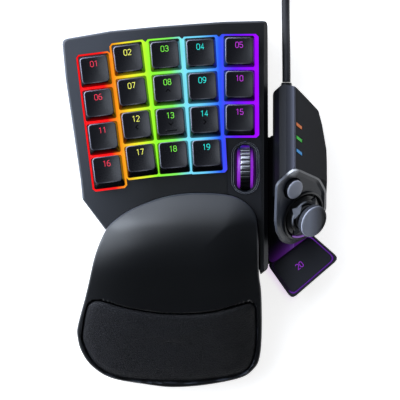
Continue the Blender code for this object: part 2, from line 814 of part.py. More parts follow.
def make_palm_base(loop):
    """Tray in front of the tongue, with rails that run into it."""
    tongue_front = min(p.y for p in outline(BASE_SHARES))
    base_loop = inset(loop, PALM_BASE_INSET)
    base_top = PALM_BOTTOM - GAP
    base = place("palm_base", prism("palm_base", base_loop, BASE_BOTTOM, base_top), "housing")
    inside = prism("palm_base_inside", inset(base_loop, WALL), BASE_INSIDE, base_top + OVERRUN)
    boolean(base, place("palm_base_inside", inside))
    back = prism(
        "palm_base_back",
        box_loop(PLAN_WIDTH, PLAN_LENGTH, shift_y=tongue_front - PALM_CLEARANCE + PLAN_LENGTH / 2),
        -OVERRUN, base_top + OVERRUN,
    )
    boolean(base, place("palm_base_back", back))
    wall_y = tongue_front - PALM_CLEARANCE - WALL / 2
    wall = prism(
        "palm_base_wall",
        box_loop(loop_width(base_loop, wall_y) - WALL, WALL, loop_middle(base_loop, wall_y), wall_y),
        BASE_INSIDE - WALL / 2, base_top,
    )
    boolean(base, place("palm_base_wall", wall), "UNION")
    rails = joined("palm_rails", [rail_block("rail", side, 0, wall_y) for side in (-1, 1)])
    boolean(base, place("palm_rails", rails), "UNION")
    foot = rounded(box_loop(PALM_FOOT_LENGTH, FOOT_WIDTH), FOOT_CORNER)
    at = spot(PALM_FOOT_X_SHARE, PALM_FOOT_Y_SHARE)
    place("foot_palm", prism("foot_palm", foot, 0, FOOT_HEIGHT), "rubber", None, (at.x, at.y, 0))


def loop_span(loop, y):
    """The two X where an outline crosses a line across the plan."""
    found = []
    for a, b in zip(loop, loop[1:] + loop[:1]):
        if (a.y - y) * (b.y - y) <= 0 and a.y != b.y:
            found.append(a.x + (b.x - a.x) * (y - a.y) / (b.y - a.y))
    return min(found), max(found)


def loop_width(loop, y):
    """How wide an outline is at one Y."""
    low, high = loop_span(loop, y)
    return high - low


def loop_middle(loop, y):
    """The middle of an outline at one Y."""
    low, high = loop_span(loop, y)
    return (low + high) / 2


def rail_block(name, side, grow, start):
    """One slide rail, or the space that it runs in."""
    x = RAIL_X_SHARE * PLAN_WIDTH + side * RAIL_SPREAD / 2
    length = RAIL_LENGTH + WALL / 2
    loop = box_loop(RAIL_WIDTH + 2 * grow, length, x, start + length / 2)
    low = BASE_INSIDE + GAP
    return prism(name, loop, low - grow, low + RAIL_HEIGHT + grow)


# Main housing
def shell_rings(points, skin_depth, low, high):
    """Rings of a tapered wall with a rounded top edge, or of the hollow inside it."""
    foot = rounded(inset(points, DECK_TAPER + skin_depth))
    wall = rounded(inset(points, skin_depth))
    if skin_depth:
        return [at_height(foot, low), at_height(wall, high)]
    shoulder = rounded(inset(points, DECK_EDGE / 3))
    edge = rounded(inset(points, DECK_EDGE))
    return [
        at_height(foot, low), at_height(wall, high - DECK_EDGE),
        at_height(shoulder, high - DECK_EDGE / 3), at_height(edge, high),
    ]


def make_top_housing():
    """Shell with the key well, the wheel panel's recess and an arc that clears the palm rest."""
    points = outline(HOUSING_SHARES)
    shell = place(
        "top_housing", skin("top_housing", shell_rings(points, 0, SHELL_BOTTOM, DECK_HEIGHT)), "housing"
    )
    high = DECK_HEIGHT + OVERRUN
    boolean(shell, place("palm_clearance", palm_prism("palm_clearance", PALM_CLEARANCE, 0, high)))
    right = max(p.x for p in points)
    bevel = [
        Vector((right - SIDE_BEVEL - OVERRUN, 0, DECK_HEIGHT + OVERRUN)),
        Vector((right + OVERRUN, 0, DECK_HEIGHT - SIDE_BEVEL - OVERRUN)),
        Vector((right + OVERRUN, 0, DECK_HEIGHT + OVERRUN)),
    ]
    ends = [[p + Vector((0, side * PLAN_LENGTH, 0)) for p in bevel] for side in (-1, 1)]
    boolean(shell, place("side_bevel", skin("side_bevel", ends)))
    hollow_rings = shell_rings(points, WALL, SHELL_BOTTOM - OVERRUN, DECK_HEIGHT - DECK_WALL)
    hollow = place("housing_hollow", skin("housing_hollow", hollow_rings))
    clearance = palm_prism("hollow_clearance", PALM_CLEARANCE + WALL, 0, high)
    boolean(hollow, place("hollow_clearance", clearance))
    boolean(shell, hollow)
    for column in range(len(COLUMN_KEYS)):
        low = DECK_HEIGHT - DECK_WALL - WELL_STEP
        tool = well_block(f"well_{column}", column, 0, low, high)
        boolean(shell, place(f"well_{column}", tool))
    recess = panel_mesh("panel_recess", GAP, DECK_HEIGHT - PANEL_THICKNESS - GAP, high)
    boolean(shell, place("panel_recess", recess))
    wheel = wheel_spot()
    slot = stadium(BEZEL_WIDTH + 2 * GAP, bezel_length() + 2 * GAP)
    cut = prism("bezel_cut", slot, DECK_HEIGHT - DECK_WALL - OVERRUN, high)
    boolean(shell, place("bezel_cut", cut, None, None, (wheel.x, wheel.y, 0)))
    add_bosses(shell, SCREW_AT_SHARES[:3], DECK_HEIGHT - DECK_WALL / 2)


def boss_top(name, high):
    """How high a screw's boss reaches."""
    return SKIRT_HEIGHT if name == "screw_thumb" else high


def add_bosses(shell, screws, high):
    """Posts from the roof down to the split, bored for the screws."""
    posts, bores = [], []
    for name, x_share, y_share in screws:
        at = Matrix.Translation(spot(x_share, y_share).to_3d())
        post = prism("boss", circle(BOSS_RADIUS, 12), SHELL_BOTTOM, boss_top(name, high))
        bore = prism("bore", circle(SCREW_RADIUS + GAP, 12), 0, SHELL_BOTTOM + SCREW_BITE + GAP)
        posts.append(moved(post, at))
        bores.append(moved(bore, at))
    boolean(shell, place(f"{shell.name}_bosses", joined("bosses", posts)), "UNION")
    boolean(shell, place(f"{shell.name}_boss_bores", joined("boss_bores", bores)))


def make_bottom_housing():
    """Tray under everything, with the tongue that the palm rest slides on."""
    points = outline(BASE_SHARES)
    rings = [
        at_height(rounded(inset(points, BASE_TAPER)), BASE_BOTTOM),
        at_height(rounded(inset(points, DECK_TAPER)), SPLIT_HEIGHT),
    ]
    tray = place("bottom_housing", skin("bottom_housing", rings), "housing")
    above = SPLIT_HEIGHT + OVERRUN
    space = palm_prism("tongue_clearance", PALM_CLEARANCE, TONGUE_HEIGHT, above)
    boolean(tray, place("tongue_clearance", space))
    hollow_rings = [
        at_height(rounded(inset(points, BASE_TAPER + WALL)), BASE_INSIDE),
        at_height(rounded(inset(points, DECK_TAPER + WALL)), above),
    ]
    hollow = place("tray_hollow", skin("tray_hollow", hollow_rings))
    cover = palm_prism("tongue_cover", PALM_CLEARANCE + WALL, TONGUE_HEIGHT - WALL, above + OVERRUN)
    boolean(hollow, place("tongue_cover", cover))
    boolean(tray, hollow)
    start = min(p.y for p in points) - OVERRUN
    tracks = joined("rail_tracks", [rail_block("track", side, GAP, start) for side in (-1, 1)])
    boolean(tray, place("rail_tracks", tracks))
    add_tray_posts(tray)
    add_pin_lugs(tray)


def add_tray_posts(tray):
    """Screw pillars, the post that guides the wheel's cradle and the lugs of key 20's pin."""
    pillars, bores = [], []
    for _, x_share, y_share in SCREW_AT_SHARES:
        at = Matrix.Translation(spot(x_share, y_share).to_3d())
        pillar = prism("pillar", circle(BOSS_RADIUS, 12), BASE_INSIDE - BASE_FLOOR / 2, SPLIT_HEIGHT)
        pillars.append(moved(pillar, at))
        shank = prism("shank", circle(SCREW_RADIUS + GAP, 12), 0, SPLIT_HEIGHT + OVERRUN)
        bores.append(moved(shank, at))
    boolean(tray, place("tray_pillars", joined("pillars", pillars)), "UNION")
    wheel = wheel_spot()
    post_top = cradle_low() - WHEEL_PRESS - GAP
    post = prism("wheel_post", box_loop(GUIDE_POST, GUIDE_POST), BASE_INSIDE - BASE_FLOOR / 2, post_top)
    boolean(tray, place("wheel_post", post, None, None, (wheel.x, wheel.y, 0)), "UNION")
    guide = prism(
        "guide_bore", circle(GUIDE_PIN + GAP, 12), guide_low() - WHEEL_PRESS - GAP, SPLIT_HEIGHT + OVERRUN
    )
    boolean(tray, place("guide_bore", guide, None, None, (wheel.x, wheel.y, 0)))
    boolean(tray, place("tray_bores", joined("tray_bores", bores)))
    seats = []
    for _, x_share, y_share in SCREW_AT_SHARES:
        seat = prism("seat", circle(SCREW_HEAD_RADIUS + GAP, 12), -OVERRUN, SCREW_SEAT)
        seats.append(moved(seat, Matrix.Translation(spot(x_share, y_share).to_3d())))
    boolean(tray, place("tray_seats", joined("tray_seats", seats)))


def make_screws():
    """Four screws that hold the two halves together."""
    top = SHELL_BOTTOM + SCREW_BITE
    head_top = SCREW_SEAT - GAP
    profile = (
        (SCREW_HEAD_RADIUS, head_top - SCREW_HEAD_HEIGHT), (SCREW_HEAD_RADIUS, head_top),
        (SCREW_RADIUS, head_top), (SCREW_RADIUS, top),
    )
    for name, x_share, y_share in SCREW_AT_SHARES:
        at = spot(x_share, y_share)
        place(name, turned(name, profile, 12), "steel", None, (at.x, at.y, 0))


def make_feet():
    """Rubber feet under the tray."""
    loop = rounded(box_loop(FOOT_LENGTH, FOOT_WIDTH), FOOT_CORNER)
    for name, x_share, y_share in FOOT_AT_SHARES:
        at = spot(x_share, y_share)
        place(name, prism(name, loop, 0, FOOT_HEIGHT), "rubber", None, (at.x, at.y, 0))


# Scroll wheel
def wheel_spot():
    """The plan point under the scroll wheel."""
    last = len(COLUMN_KEYS) - 1
    key = key_spot(last, COLUMN_KEYS[last] - 1)
    return Vector((key.x + WHEEL_SHIFT_X, key.y - WHEEL_SHIFT_Y))


def cradle_low():
    """The height of the cradle's underside."""
    return WHEEL_HEIGHT - WHEEL_RADIUS - GAP - CRADLE_FLOOR


def guide_low():
    """The height of the guide pin's end."""
    return cradle_low() - GUIDE_LENGTH


def slot_length():
    """Length of the wheel's slot: the wheel's chord under the deck, and room at each end."""
    below = DECK_HEIGHT - DECK_WALL - WHEEL_HEIGHT
    return 2 * (math.sqrt(WHEEL_RADIUS ** 2 - below ** 2) + SLOT_CLEARANCE)


def bezel_length():
    """Length of the ring round the slot."""
    return slot_length() + 2 * BEZEL_END


def panel_mesh(name, grow, low, high):
    """The panel round the wheel, or its recess."""
    wheel = wheel_spot()
    left, right = wheel.x - PANEL_LEFT - grow, wheel.x + PANEL_RIGHT + grow
    rear = wheel.y + PANEL_REAR + grow
    front = wheel.y - PANEL_FRONT - grow
    corners = ((left, front), (right, front), (right, rear), (left, rear))
    return prism(name, [Vector(c) for c in corners], low, high)


def make_wheel():
    """Panel, bezel, wheel, axle and cradle."""
    wheel = wheel_spot()
    at = (wheel.x, wheel.y, 0)
    panel = place(
        "wheel_panel", panel_mesh("wheel_panel", 0, DECK_HEIGHT - PANEL_THICKNESS, DECK_HEIGHT), "housing"
    )
    front = palm_prism("panel_clearance", PALM_CLEARANCE, 0, DECK_HEIGHT + OVERRUN)
    boolean(panel, place("panel_clearance", front))
    slot = stadium(BEZEL_WIDTH + 2 * GAP, bezel_length() + 2 * GAP)
    cut = prism("panel_slot", slot, 0, DECK_HEIGHT + OVERRUN)
    boolean(panel, place("panel_slot", cut, None, None, at))
    for column in range(len(COLUMN_KEYS) - 2, len(COLUMN_KEYS)):
        well = well_block(f"panel_well_{column}", column, GAP, 0, DECK_HEIGHT + OVERRUN)
        boolean(panel, place(f"panel_well_{column}", well))
    make_bezel(at)
    axis = Matrix.Rotation(math.pi / 2, 4, "Y")
    centre = (wheel.x, wheel.y, WHEEL_HEIGHT)
    place("scroll_rim", moved(rim_mesh(), axis), "light", None, centre)
    place("scroll_tread", moved(tread_mesh(), axis), "rubber", None, centre)
    half = AXLE_LENGTH / 2
    axle = turned("wheel_axle", ((AXLE_RADIUS, -half), (AXLE_RADIUS, half)), 12)
    place("wheel_axle", moved(axle, axis), "steel", None, centre)
    make_cradle(centre)


def make_bezel(at):
    """Grooved ring round the wheel's slot."""
    outer = stadium(BEZEL_WIDTH, bezel_length())
    mouth = stadium(SLOT_WIDTH, slot_length())
    width = (BEZEL_WIDTH - SLOT_WIDTH) / 2
    low, high = DECK_HEIGHT - DECK_WALL, DECK_HEIGHT + BEZEL_PROUD

    def inward(share):
        return [a.lerp(b, share) for a, b in zip(outer, mouth)]

    land = BEZEL_GROOVE / width
    rings = [
        at_height(outer, low), at_height(outer, high), at_height(inward(land), high),
        at_height(inward(2 * land), high - BEZEL_GROOVE), at_height(inward(1 - land), high - BEZEL_GROOVE),
        at_height(mouth, high - 2 * BEZEL_GROOVE), at_height(inward(BEZEL_FLARE_SHARE), low),
    ]
    place("wheel_bezel", skin("wheel_bezel", rings, closed=True), "trim", None, at)


def rim_mesh():
    """The lit rim: two flanges with the tread's seat between them, bored for the axle."""
    half, seat = RIM_WIDTH / 2, TREAD_WIDTH / 2 + GAP
    flange = WHEEL_RADIUS - RIM_LIP
    core = WHEEL_RADIUS - TREAD_WALL - GAP
    bore, edge = AXLE_RADIUS + GAP, RIM_EDGE
    profile = (
        (bore, -half), (flange - edge, -half), (flange, edge - half), (flange, -seat), (core, -seat),
        (core, seat), (flange, seat), (flange, half - edge), (flange - edge, half), (bore, half),
    )
    return turned("scroll_rim", profile, ROUND_STEPS, bored=True)


def tread_mesh():
    """The ribbed tyre."""
    points_a_rib = 4
    count = TREAD_RIBS * points_a_rib
    low, high = WHEEL_RADIUS - RIB_HEIGHT, WHEEL_RADIUS
    outer = []
    for k in range(count):
        radius = high if k % points_a_rib in (1, 2) else low
        turn = math.tau * k / count
        outer.append(Vector((radius * math.cos(turn), radius * math.sin(turn))))
    inner = circle(WHEEL_RADIUS - TREAD_WALL, count)
    return ring_prism("scroll_tread", outer, inner, -TREAD_WIDTH / 2, TREAD_WIDTH / 2)


def make_cradle(centre):
    """Fork that holds the axle, with a pin that slides in the tray's post."""
    inside = RIM_WIDTH + 2 * GAP
    width = inside + 2 * CRADLE_WALL
    low = cradle_low() - WHEEL_HEIGHT
    floor = prism("wheel_cradle", box_loop(width, CRADLE_DEPTH), low, low + CRADLE_FLOOR)
    cradle = place("wheel_cradle", floor, "housing", None, centre)
    cheeks = []
    for side in (-1, 1):
        x = side * (inside + CRADLE_WALL) / 2
        loop = box_loop(CRADLE_WALL, CRADLE_DEPTH, x)
        cheeks.append(prism("cheek", loop, low + CRADLE_FLOOR / 2, CRADLE_DEPTH / 2))
    boolean(cradle, place("cradle_cheeks", joined("cheeks", cheeks), None, None, centre), "UNION")
    pin = prism("cradle_pin", circle(GUIDE_PIN, 12), low - GUIDE_LENGTH, low + CRADLE_FLOOR / 2)
    boolean(cradle, place("cradle_pin", pin, None, None, centre), "UNION")
    bore = turned("axle_bore", ((AXLE_RADIUS + GAP, -width), (AXLE_RADIUS + GAP, width)), 12)
    boolean(cradle, place("axle_bore", moved(bore, Matrix.Rotation(math.pi / 2, 4, "Y")), None, None, centre))


# Thumb module
def control_normal():
    """The direction that the control face looks in."""
    tilt, heading = math.radians(CONTROL_TILT_DEG), math.radians(CONTROL_HEADING_DEG)
    return Vector((math.sin(tilt) * math.cos(heading), math.sin(tilt) * math.sin(heading), math.cos(tilt)))


def control_height(point, proud=0.0):
    """Height over a plan point of the plane that stands proud of the control face."""
    normal = control_normal()
    across = point - spot(CONTROL_X_SHARE, CONTROL_Y_SHARE)
    return CONTROL_HEIGHT + (proud - normal.x * across.x - normal.y * across.y) / normal.z


def control_frame():
    """An empty at the stick's pivot, its Z along the control face's normal."""
    at = spot(CONTROL_X_SHARE, CONTROL_Y_SHARE)
    turn = (0, math.radians(CONTROL_TILT_DEG), math.radians(CONTROL_HEADING_DEG))
    return empty("control_frame", (at.x, at.y, CONTROL_HEIGHT), turn)


def control_local(u, v, height=0.0):
    """A place on the control face: u along its level line, v up its slope."""
    return (-v, u, height)


def tilted(loop, proud):
    """A plan loop lifted onto a plane parallel to the control face."""
    return [Vector((p.x, p.y, control_height(p, proud))) for p in loop]


def ridge_height(y):
    """Height of the module's ridge, which falls to the rear."""
    apex = spot(RIDGE_X_SHARE, RIDGE_Y_SHARE)
    return control_height(apex) - RIDGE_FALL_SHARE * (y - apex.y)


def facet_height(point):
    """Height of the facet to the right of the ridge."""
    return ridge_height(point.y) - FACET_FALL_SHARE * (point.x - RIDGE_X_SHARE * PLAN_WIDTH)


def rear_section(depth, y):
    """One cross-section of the module behind the control face."""
    ridge_x = RIDGE_X_SHARE * PLAN_WIDTH
    points = outline(MODULE_SHARES)
    left = min(p.x for p in points) + depth
    right = max(p.x for p in points) + OVERRUN
    low = SHELL_BOTTOM - (OVERRUN if depth else 0)
    high = ridge_height(y) - depth * math.hypot(1, FACET_FALL_SHARE)
    steps = 4
    ring = [Vector((right, y, low)), Vector((right, y, high - FACET_FALL_SHARE * (right - ridge_x)))]
    for k in range(steps, -1, -1):
        t = math.pi / 2 * k / steps
        x = left + (ridge_x - left) * (1 - math.cos(t))
        ring.append(Vector((x, y, high - SHOULDER_DROP + SHOULDER_DROP * math.sin(t))))
    ring.append(Vector((left, y, low)))
    return ring


def thumb_form(name, depth, look):
    """The module's outer form, or with a depth the hollow inside it."""
    low = SHELL_BOTTOM - (OVERRUN if depth else 0)
    module = outline(MODULE_SHARES)
    front_y = RIDGE_Y_SHARE * PLAN_LENGTH - REAR_OVERLAP
    rear_y = max(p.y for p in module) + OVERRUN
    form = place(name, skin(name, [rear_section(depth, front_y), rear_section(depth, rear_y)]), look)
    walls = skin(f"{name}_walls", [
        at_height(rounded(inset(module, DECK_TAPER + depth)), low - OVERRUN),
        at_height(rounded(inset(module, depth)), DECK_HEIGHT),
        at_height(rounded(inset(module, depth)), 2 * DECK_HEIGHT),
    ])
    boolean(form, place(f"{name}_walls", walls), "INTERSECT")
    boolean(form, skirt_form(f"{name}_skirt", depth, low), "UNION")
    about = spot(CONTROL_X_SHARE, CONTROL_Y_SHARE)
    face = tilted(box_loop(PLAN_WIDTH, PLAN_LENGTH, about.x, about.y), -depth)
    above = skin(f"{name}_above", [face, [p + Vector((0, 0, PLAN_LENGTH)) for p in face]])
    boolean(form, place(f"{name}_above", above))
    block_loop = rounded(inset(outline(CONTROL_SHARES), FRONT_STEP + depth))
    block = skin(f"{name}_front", [at_height(block_loop, low), tilted(block_loop, -depth)])
    boolean(form, place(f"{name}_front", block), "UNION")
    return form


def skirt_form(name, depth, low):
    """The low part between the module, the main housing and key 20."""
    loop = rounded(inset(outline(SKIRT_SHARES), depth))
    high = SKIRT_HEIGHT - depth
    skirt = place(name, prism(name, loop, low, high))
    drop = SKIRT_HEIGHT - SKIRT_FRONT_HEIGHT
    fall = drop / SKIRT_SLOPE_RUN
    profile = [
        Vector((0, -SKIRT_SLOPE_RUN - OVERRUN, high + fall * OVERRUN)),
        Vector((0, OVERRUN, high - drop - fall * OVERRUN)),
        Vector((0, OVERRUN, high + PLAN_LENGTH)),
    ]
    ends = [[p + Vector((side * PLAN_WIDTH, 0, 0)) for p in profile] for side in (-1, 1)]
    slope = skin(f"{name}_slope", ends)
    boolean(skirt, place(f"{name}_slope", slope, None, None, *paddle_place()))
    return skirt


def make_thumb_housing(frame):
    """Shell of the thumb module."""
    shell = thumb_form("thumb_housing", 0, "housing")
    boolean(shell, thumb_form("thumb_hollow", WALL, None))
    for name, radius, place_uv in (
        ("button_hole", BUTTON_RADIUS + BUTTON_GAP, (BUTTON_U, BUTTON_V)),
        ("collar_hole", COLLAR_RADIUS, (0, 0)),
    ):
        hole = prism(name, circle(radius), -2 * WALL, OVERRUN)
        boolean(shell, place(name, hole, None, frame, control_local(*place_uv)))
    lenses = [indicator_mesh(f"lens_{k}", k, GAP, OVERRUN, 2 * OVERRUN) for k in range(INDICATOR_COUNT)]
    boolean(shell, place("indicator_slots", joined("indicator_slots", lenses)))
    add_bosses(shell, SCREW_AT_SHARES[3:], DECK_HEIGHT)
    add_paddle_slot(shell)
    exit_at = cord_exit()
    rear_wall = prism("cord_hole", circle(GLAND_RADIUS + GAP, 16), -GLAND_LENGTH, GLAND_LENGTH)
    along = Matrix.Rotation(math.pi / 2, 4, "X")
    boolean(shell, place("cord_hole", moved(rear_wall, along), None, None, tuple(exit_at)))


def indicator_mesh(name, index, grow, proud, depth):
    """One slanted lens, or the slot that it sits in."""
    at = spot(INDICATOR_X_SHARE, INDICATOR_Y_SHARE) + Vector((0, INDICATOR_PITCH * (1 - index)))
    half_width, half_length = INDICATOR_WIDTH / 2 + grow, INDICATOR_LENGTH / 2 + grow
    corners = (
        (-half_width, -half_length + INDICATOR_SLANT / 2), (half_width, -half_length - INDICATOR_SLANT / 2),
        (half_width, half_length - INDICATOR_SLANT / 2), (-half_width, half_length + INDICATOR_SLANT / 2),
    )
    loop = [at + Vector(corner) for corner in corners]
    rings = [[Vector((p.x, p.y, facet_height(p) + rise)) for p in loop] for rise in (-depth, proud)]
    return skin(name, rings)


def make_indicators():
    """Three lenses beside the ridge."""
    for index in range(INDICATOR_COUNT):
        name = f"indicator_{index + 1}"
        place(name, indicator_mesh(name, index, 0, GAP, INDICATOR_DEPTH), "light")


def make_controls(frame):
    """Control plate, button, stick, gimbal and the board under them."""
    loop = rounded(outline(CONTROL_SHARES), 2 * CORNER_RADIUS)
    edge = inset(loop, CONTROL_EDGE)
    rim = inset(loop, CONTROL_EDGE + CONTROL_RIM)
    thick = CONTROL_THICKNESS + GAP
    rings = [
        tilted(loop, GAP), tilted(loop, thick - CONTROL_EDGE), tilted(edge, thick),
        tilted(rim, thick - CONTROL_DIP),
    ]
    plate = place("control_plate", skin("control_plate", rings), "trim")
    for name, radius, at in (
        ("plate_button_hole", BUTTON_RADIUS + BUTTON_GAP, (BUTTON_U, BUTTON_V)),
        ("plate_hole", COLLAR_RADIUS, (0, 0)),
    ):
        hole = prism(name, circle(radius), -OVERRUN, 2 * OVERRUN)
        boolean(plate, place(name, hole, None, frame, control_local(*at)))
    top = thick + BUTTON_PROUD
    button = turned("mode_button", (
        (BUTTON_STEM, -THUMB_BOARD_DROP + GAP + BUTTON_TRAVEL + GAP), (BUTTON_STEM, top - BUTTON_DEPTH),
        (BUTTON_RADIUS, top - BUTTON_DEPTH), (BUTTON_RADIUS, top - BUTTON_EDGE),
        (BUTTON_RADIUS - BUTTON_EDGE / 2, top - BUTTON_EDGE / 4), (BUTTON_RADIUS - BUTTON_EDGE, top),
    ))
    place("mode_button", button, "grey", frame, control_local(BUTTON_U, BUTTON_V))
    make_stick(frame)
    make_thumb_board(frame)


def make_stick(frame):
    """Direction disc and thumb stick, which tilt together, and the gimbal ring."""
    disc = place("direction_disc", turned("direction_disc", (
        (STICK_SHAFT + GAP, DISC_HOLLOW), (DISC_RADIUS - DISC_RIM, DISC_LOW), (DISC_RADIUS, DISC_LOW),
        (DISC_RADIUS, DISC_LOW + DISC_RIM), (DISC_HUB, DISC_CROWN), (STICK_SHAFT + GAP, DISC_CROWN),
    ), bored=True), "gloss", frame)
    wedges = []
    for k in range(4):
        tip = DISC_RADIUS - NOTCH_DEPTH
        mouth = DISC_RADIUS + OVERRUN
        half = NOTCH_WIDTH / 2 * (mouth - tip) / NOTCH_DEPTH
        corners = [Vector((tip, 0)), Vector((mouth, -half)), Vector((mouth, half))]
        wedge = prism("wedge", corners, 0, DISC_CROWN)
        wedges.append(moved(wedge, Matrix.Rotation(math.pi / 2 * k + math.pi / 4, 4, "Z")))
    boolean(disc, place("disc_notches", joined("disc_notches", wedges), None, frame))
    cap_top = STICK_CAP_LOW + STICK_CAP_HEIGHT
    radius = STICK_CAP_RADIUS
    edge, lip = STICK_CAP_EDGE, radius - STICK_CAP_LIP
    stick = place("thumb_stick", turned("thumb_stick", (
        (STICK_SHAFT, -2 * GIMBAL_THICKNESS), (STICK_SHAFT, STICK_CAP_LOW),
        (radius - 2 * edge, STICK_CAP_LOW),
        (radius, STICK_CAP_LOW + edge), (radius, cap_top - edge), (radius - edge / 2, cap_top - edge / 4),
        (radius - edge, cap_top), (lip, cap_top - STICK_DISH / 2), (STICK_SHAFT, cap_top - STICK_DISH),
    )), "grey", frame)
    outer, inner = box_loop(GIMBAL_SIZE, GIMBAL_SIZE), box_loop(GIMBAL_HOLE, GIMBAL_HOLE)
    half = GIMBAL_THICKNESS / 2
    ring = place("stick_gimbal", ring_prism("stick_gimbal", outer, inner, -half, half), "trim", frame)
    pins = []
    for side in (-1, 1):
        pin = prism("pin", circle(GIMBAL_PIN, 8), 0, GIMBAL_DROP + WALL / 2)
        out = Matrix.Translation((0, side * (GIMBAL_SIZE / 2 - WALL / 2), 0))
        pins.append(moved(pin, out @ Matrix.Rotation(-side * math.pi / 2, 4, "X")))
    boolean(ring, place("gimbal_pins", joined("gimbal_pins", pins), None, frame), "UNION")
    across = Matrix.Rotation(math.pi / 2, 4, "Y")
    bore = moved(prism("cross_bore", circle(GIMBAL_PIN + GAP, 8), -GIMBAL_SIZE, GIMBAL_SIZE), across)
    boolean(ring, place("cross_bore", bore, None, frame))
    reach = GIMBAL_SIZE / 2
    cross = moved(prism("cross_pin", circle(GIMBAL_PIN, 8), -reach, reach), across)
    boolean(stick, place("cross_pin", cross, None, frame), "UNION")


def make_thumb_board(frame):
    """Small board parallel to the control face, with the posts that carry the gimbal."""
    loop = rounded(inset(outline(CONTROL_SHARES), FRONT_STEP + WALL + 2 * GAP))
    low, high = -THUMB_BOARD_DROP - BOARD_THICKNESS, -THUMB_BOARD_DROP
    board = place("thumb_board", skin("thumb_board", [tilted(loop, low), tilted(loop, high)]), "board")
    front = prism(
        "board_front", box_loop(PLAN_WIDTH, PLAN_LENGTH, THUMB_BOARD_FRONT + PLAN_WIDTH / 2),
        low - OVERRUN, high + OVERRUN,
    )
    boolean(board, place("board_front", front, None, frame))
    posts = []
    for side in (-1, 1):
        y = side * (GIMBAL_SIZE / 2 + GAP + GIMBAL_POST / 2)
        loop = box_loop(2 * GIMBAL_POST, GIMBAL_POST, 0, y)
        posts.append(prism("post", loop, high - BOARD_THICKNESS / 2, GIMBAL_THICKNESS / 2))
    boolean(board, place("gimbal_posts", joined("gimbal_posts", posts), None, frame), "UNION")
    bore = prism("gimbal_bore", circle(GIMBAL_PIN + GAP, 8), -GIMBAL_SIZE, GIMBAL_SIZE)
    boolean(board, place("gimbal_bore", moved(bore, Matrix.Rotation(math.pi / 2, 4, "X")), None, frame))


# Key 20
def paddle_place():
    """Where key 20's frame stands: X along the skirt's edge, Y outwards."""
    at = spot(PADDLE_X_SHARE, PADDLE_Y_SHARE)
    return (at.x, at.y, 0), (0, 0, math.radians(PADDLE_TURN_DEG) + math.pi)


def paddle_blade(tail):
    """Key 20's outline outside the skirt, from a chosen line inside it."""
    half = PADDLE_ROOT_WIDTH / 2
    return [
        Vector((-half, -tail)), Vector((half, -tail)),
        Vector((half + PADDLE_SKEW, PADDLE_REACH + PADDLE_SLANT)),
        Vector((-half - PADDLE_SKEW - PADDLE_FLARE, PADDLE_REACH - PADDLE_SLANT)),
    ]


def add_paddle_slot(shell):
    """Open the module where key 20 passes under its front wall."""
    loop = box_loop(PADDLE_ROOT_WIDTH + 2 * PADDLE_GAP, 2 * (WALL + OVERRUN), 0, OVERRUN - WALL)
    slot = prism("paddle_slot", loop, SHELL_BOTTOM - OVERRUN, PADDLE_LOW + PADDLE_THICKNESS + PADDLE_GAP)
    boolean(shell, place("paddle_slot", slot, None, None, *paddle_place()))


def add_pin_lugs(tray):
    """Two lugs that hold key 20's pin."""
    lugs, span = [], PADDLE_TAIL_WIDTH + 2 * GAP + LUG_WIDTH
    top = PADDLE_LOW + PADDLE_THICKNESS
    for side in (-1, 1):
        x = -PADDLE_TAIL_SHIFT + side * span / 2
        loop = box_loop(LUG_WIDTH, LUG_DEPTH, x, -PIN_BACK)
        lugs.append(prism("lug", loop, BASE_INSIDE - BASE_FLOOR / 2, top))
    boolean(tray, place("pin_lugs", joined("pin_lugs", lugs), None, None, *paddle_place()), "UNION")
    bore = prism("pin_bore", circle(PIN_RADIUS + GAP, 12), -PADDLE_ROOT_WIDTH, PADDLE_ROOT_WIDTH)
    boolean(tray, place("pin_bore", moved(bore, pin_matrix()), None, None, *paddle_place()))


def pin_matrix():
    """Lay a Z prism along key 20's hinge."""
    return (
        Matrix.Translation((-PADDLE_TAIL_SHIFT, -PIN_BACK, PADDLE_LOW + PADDLE_THICKNESS / 2))
        @ Matrix.Rotation(math.pi / 2, 4, "Y")
    )


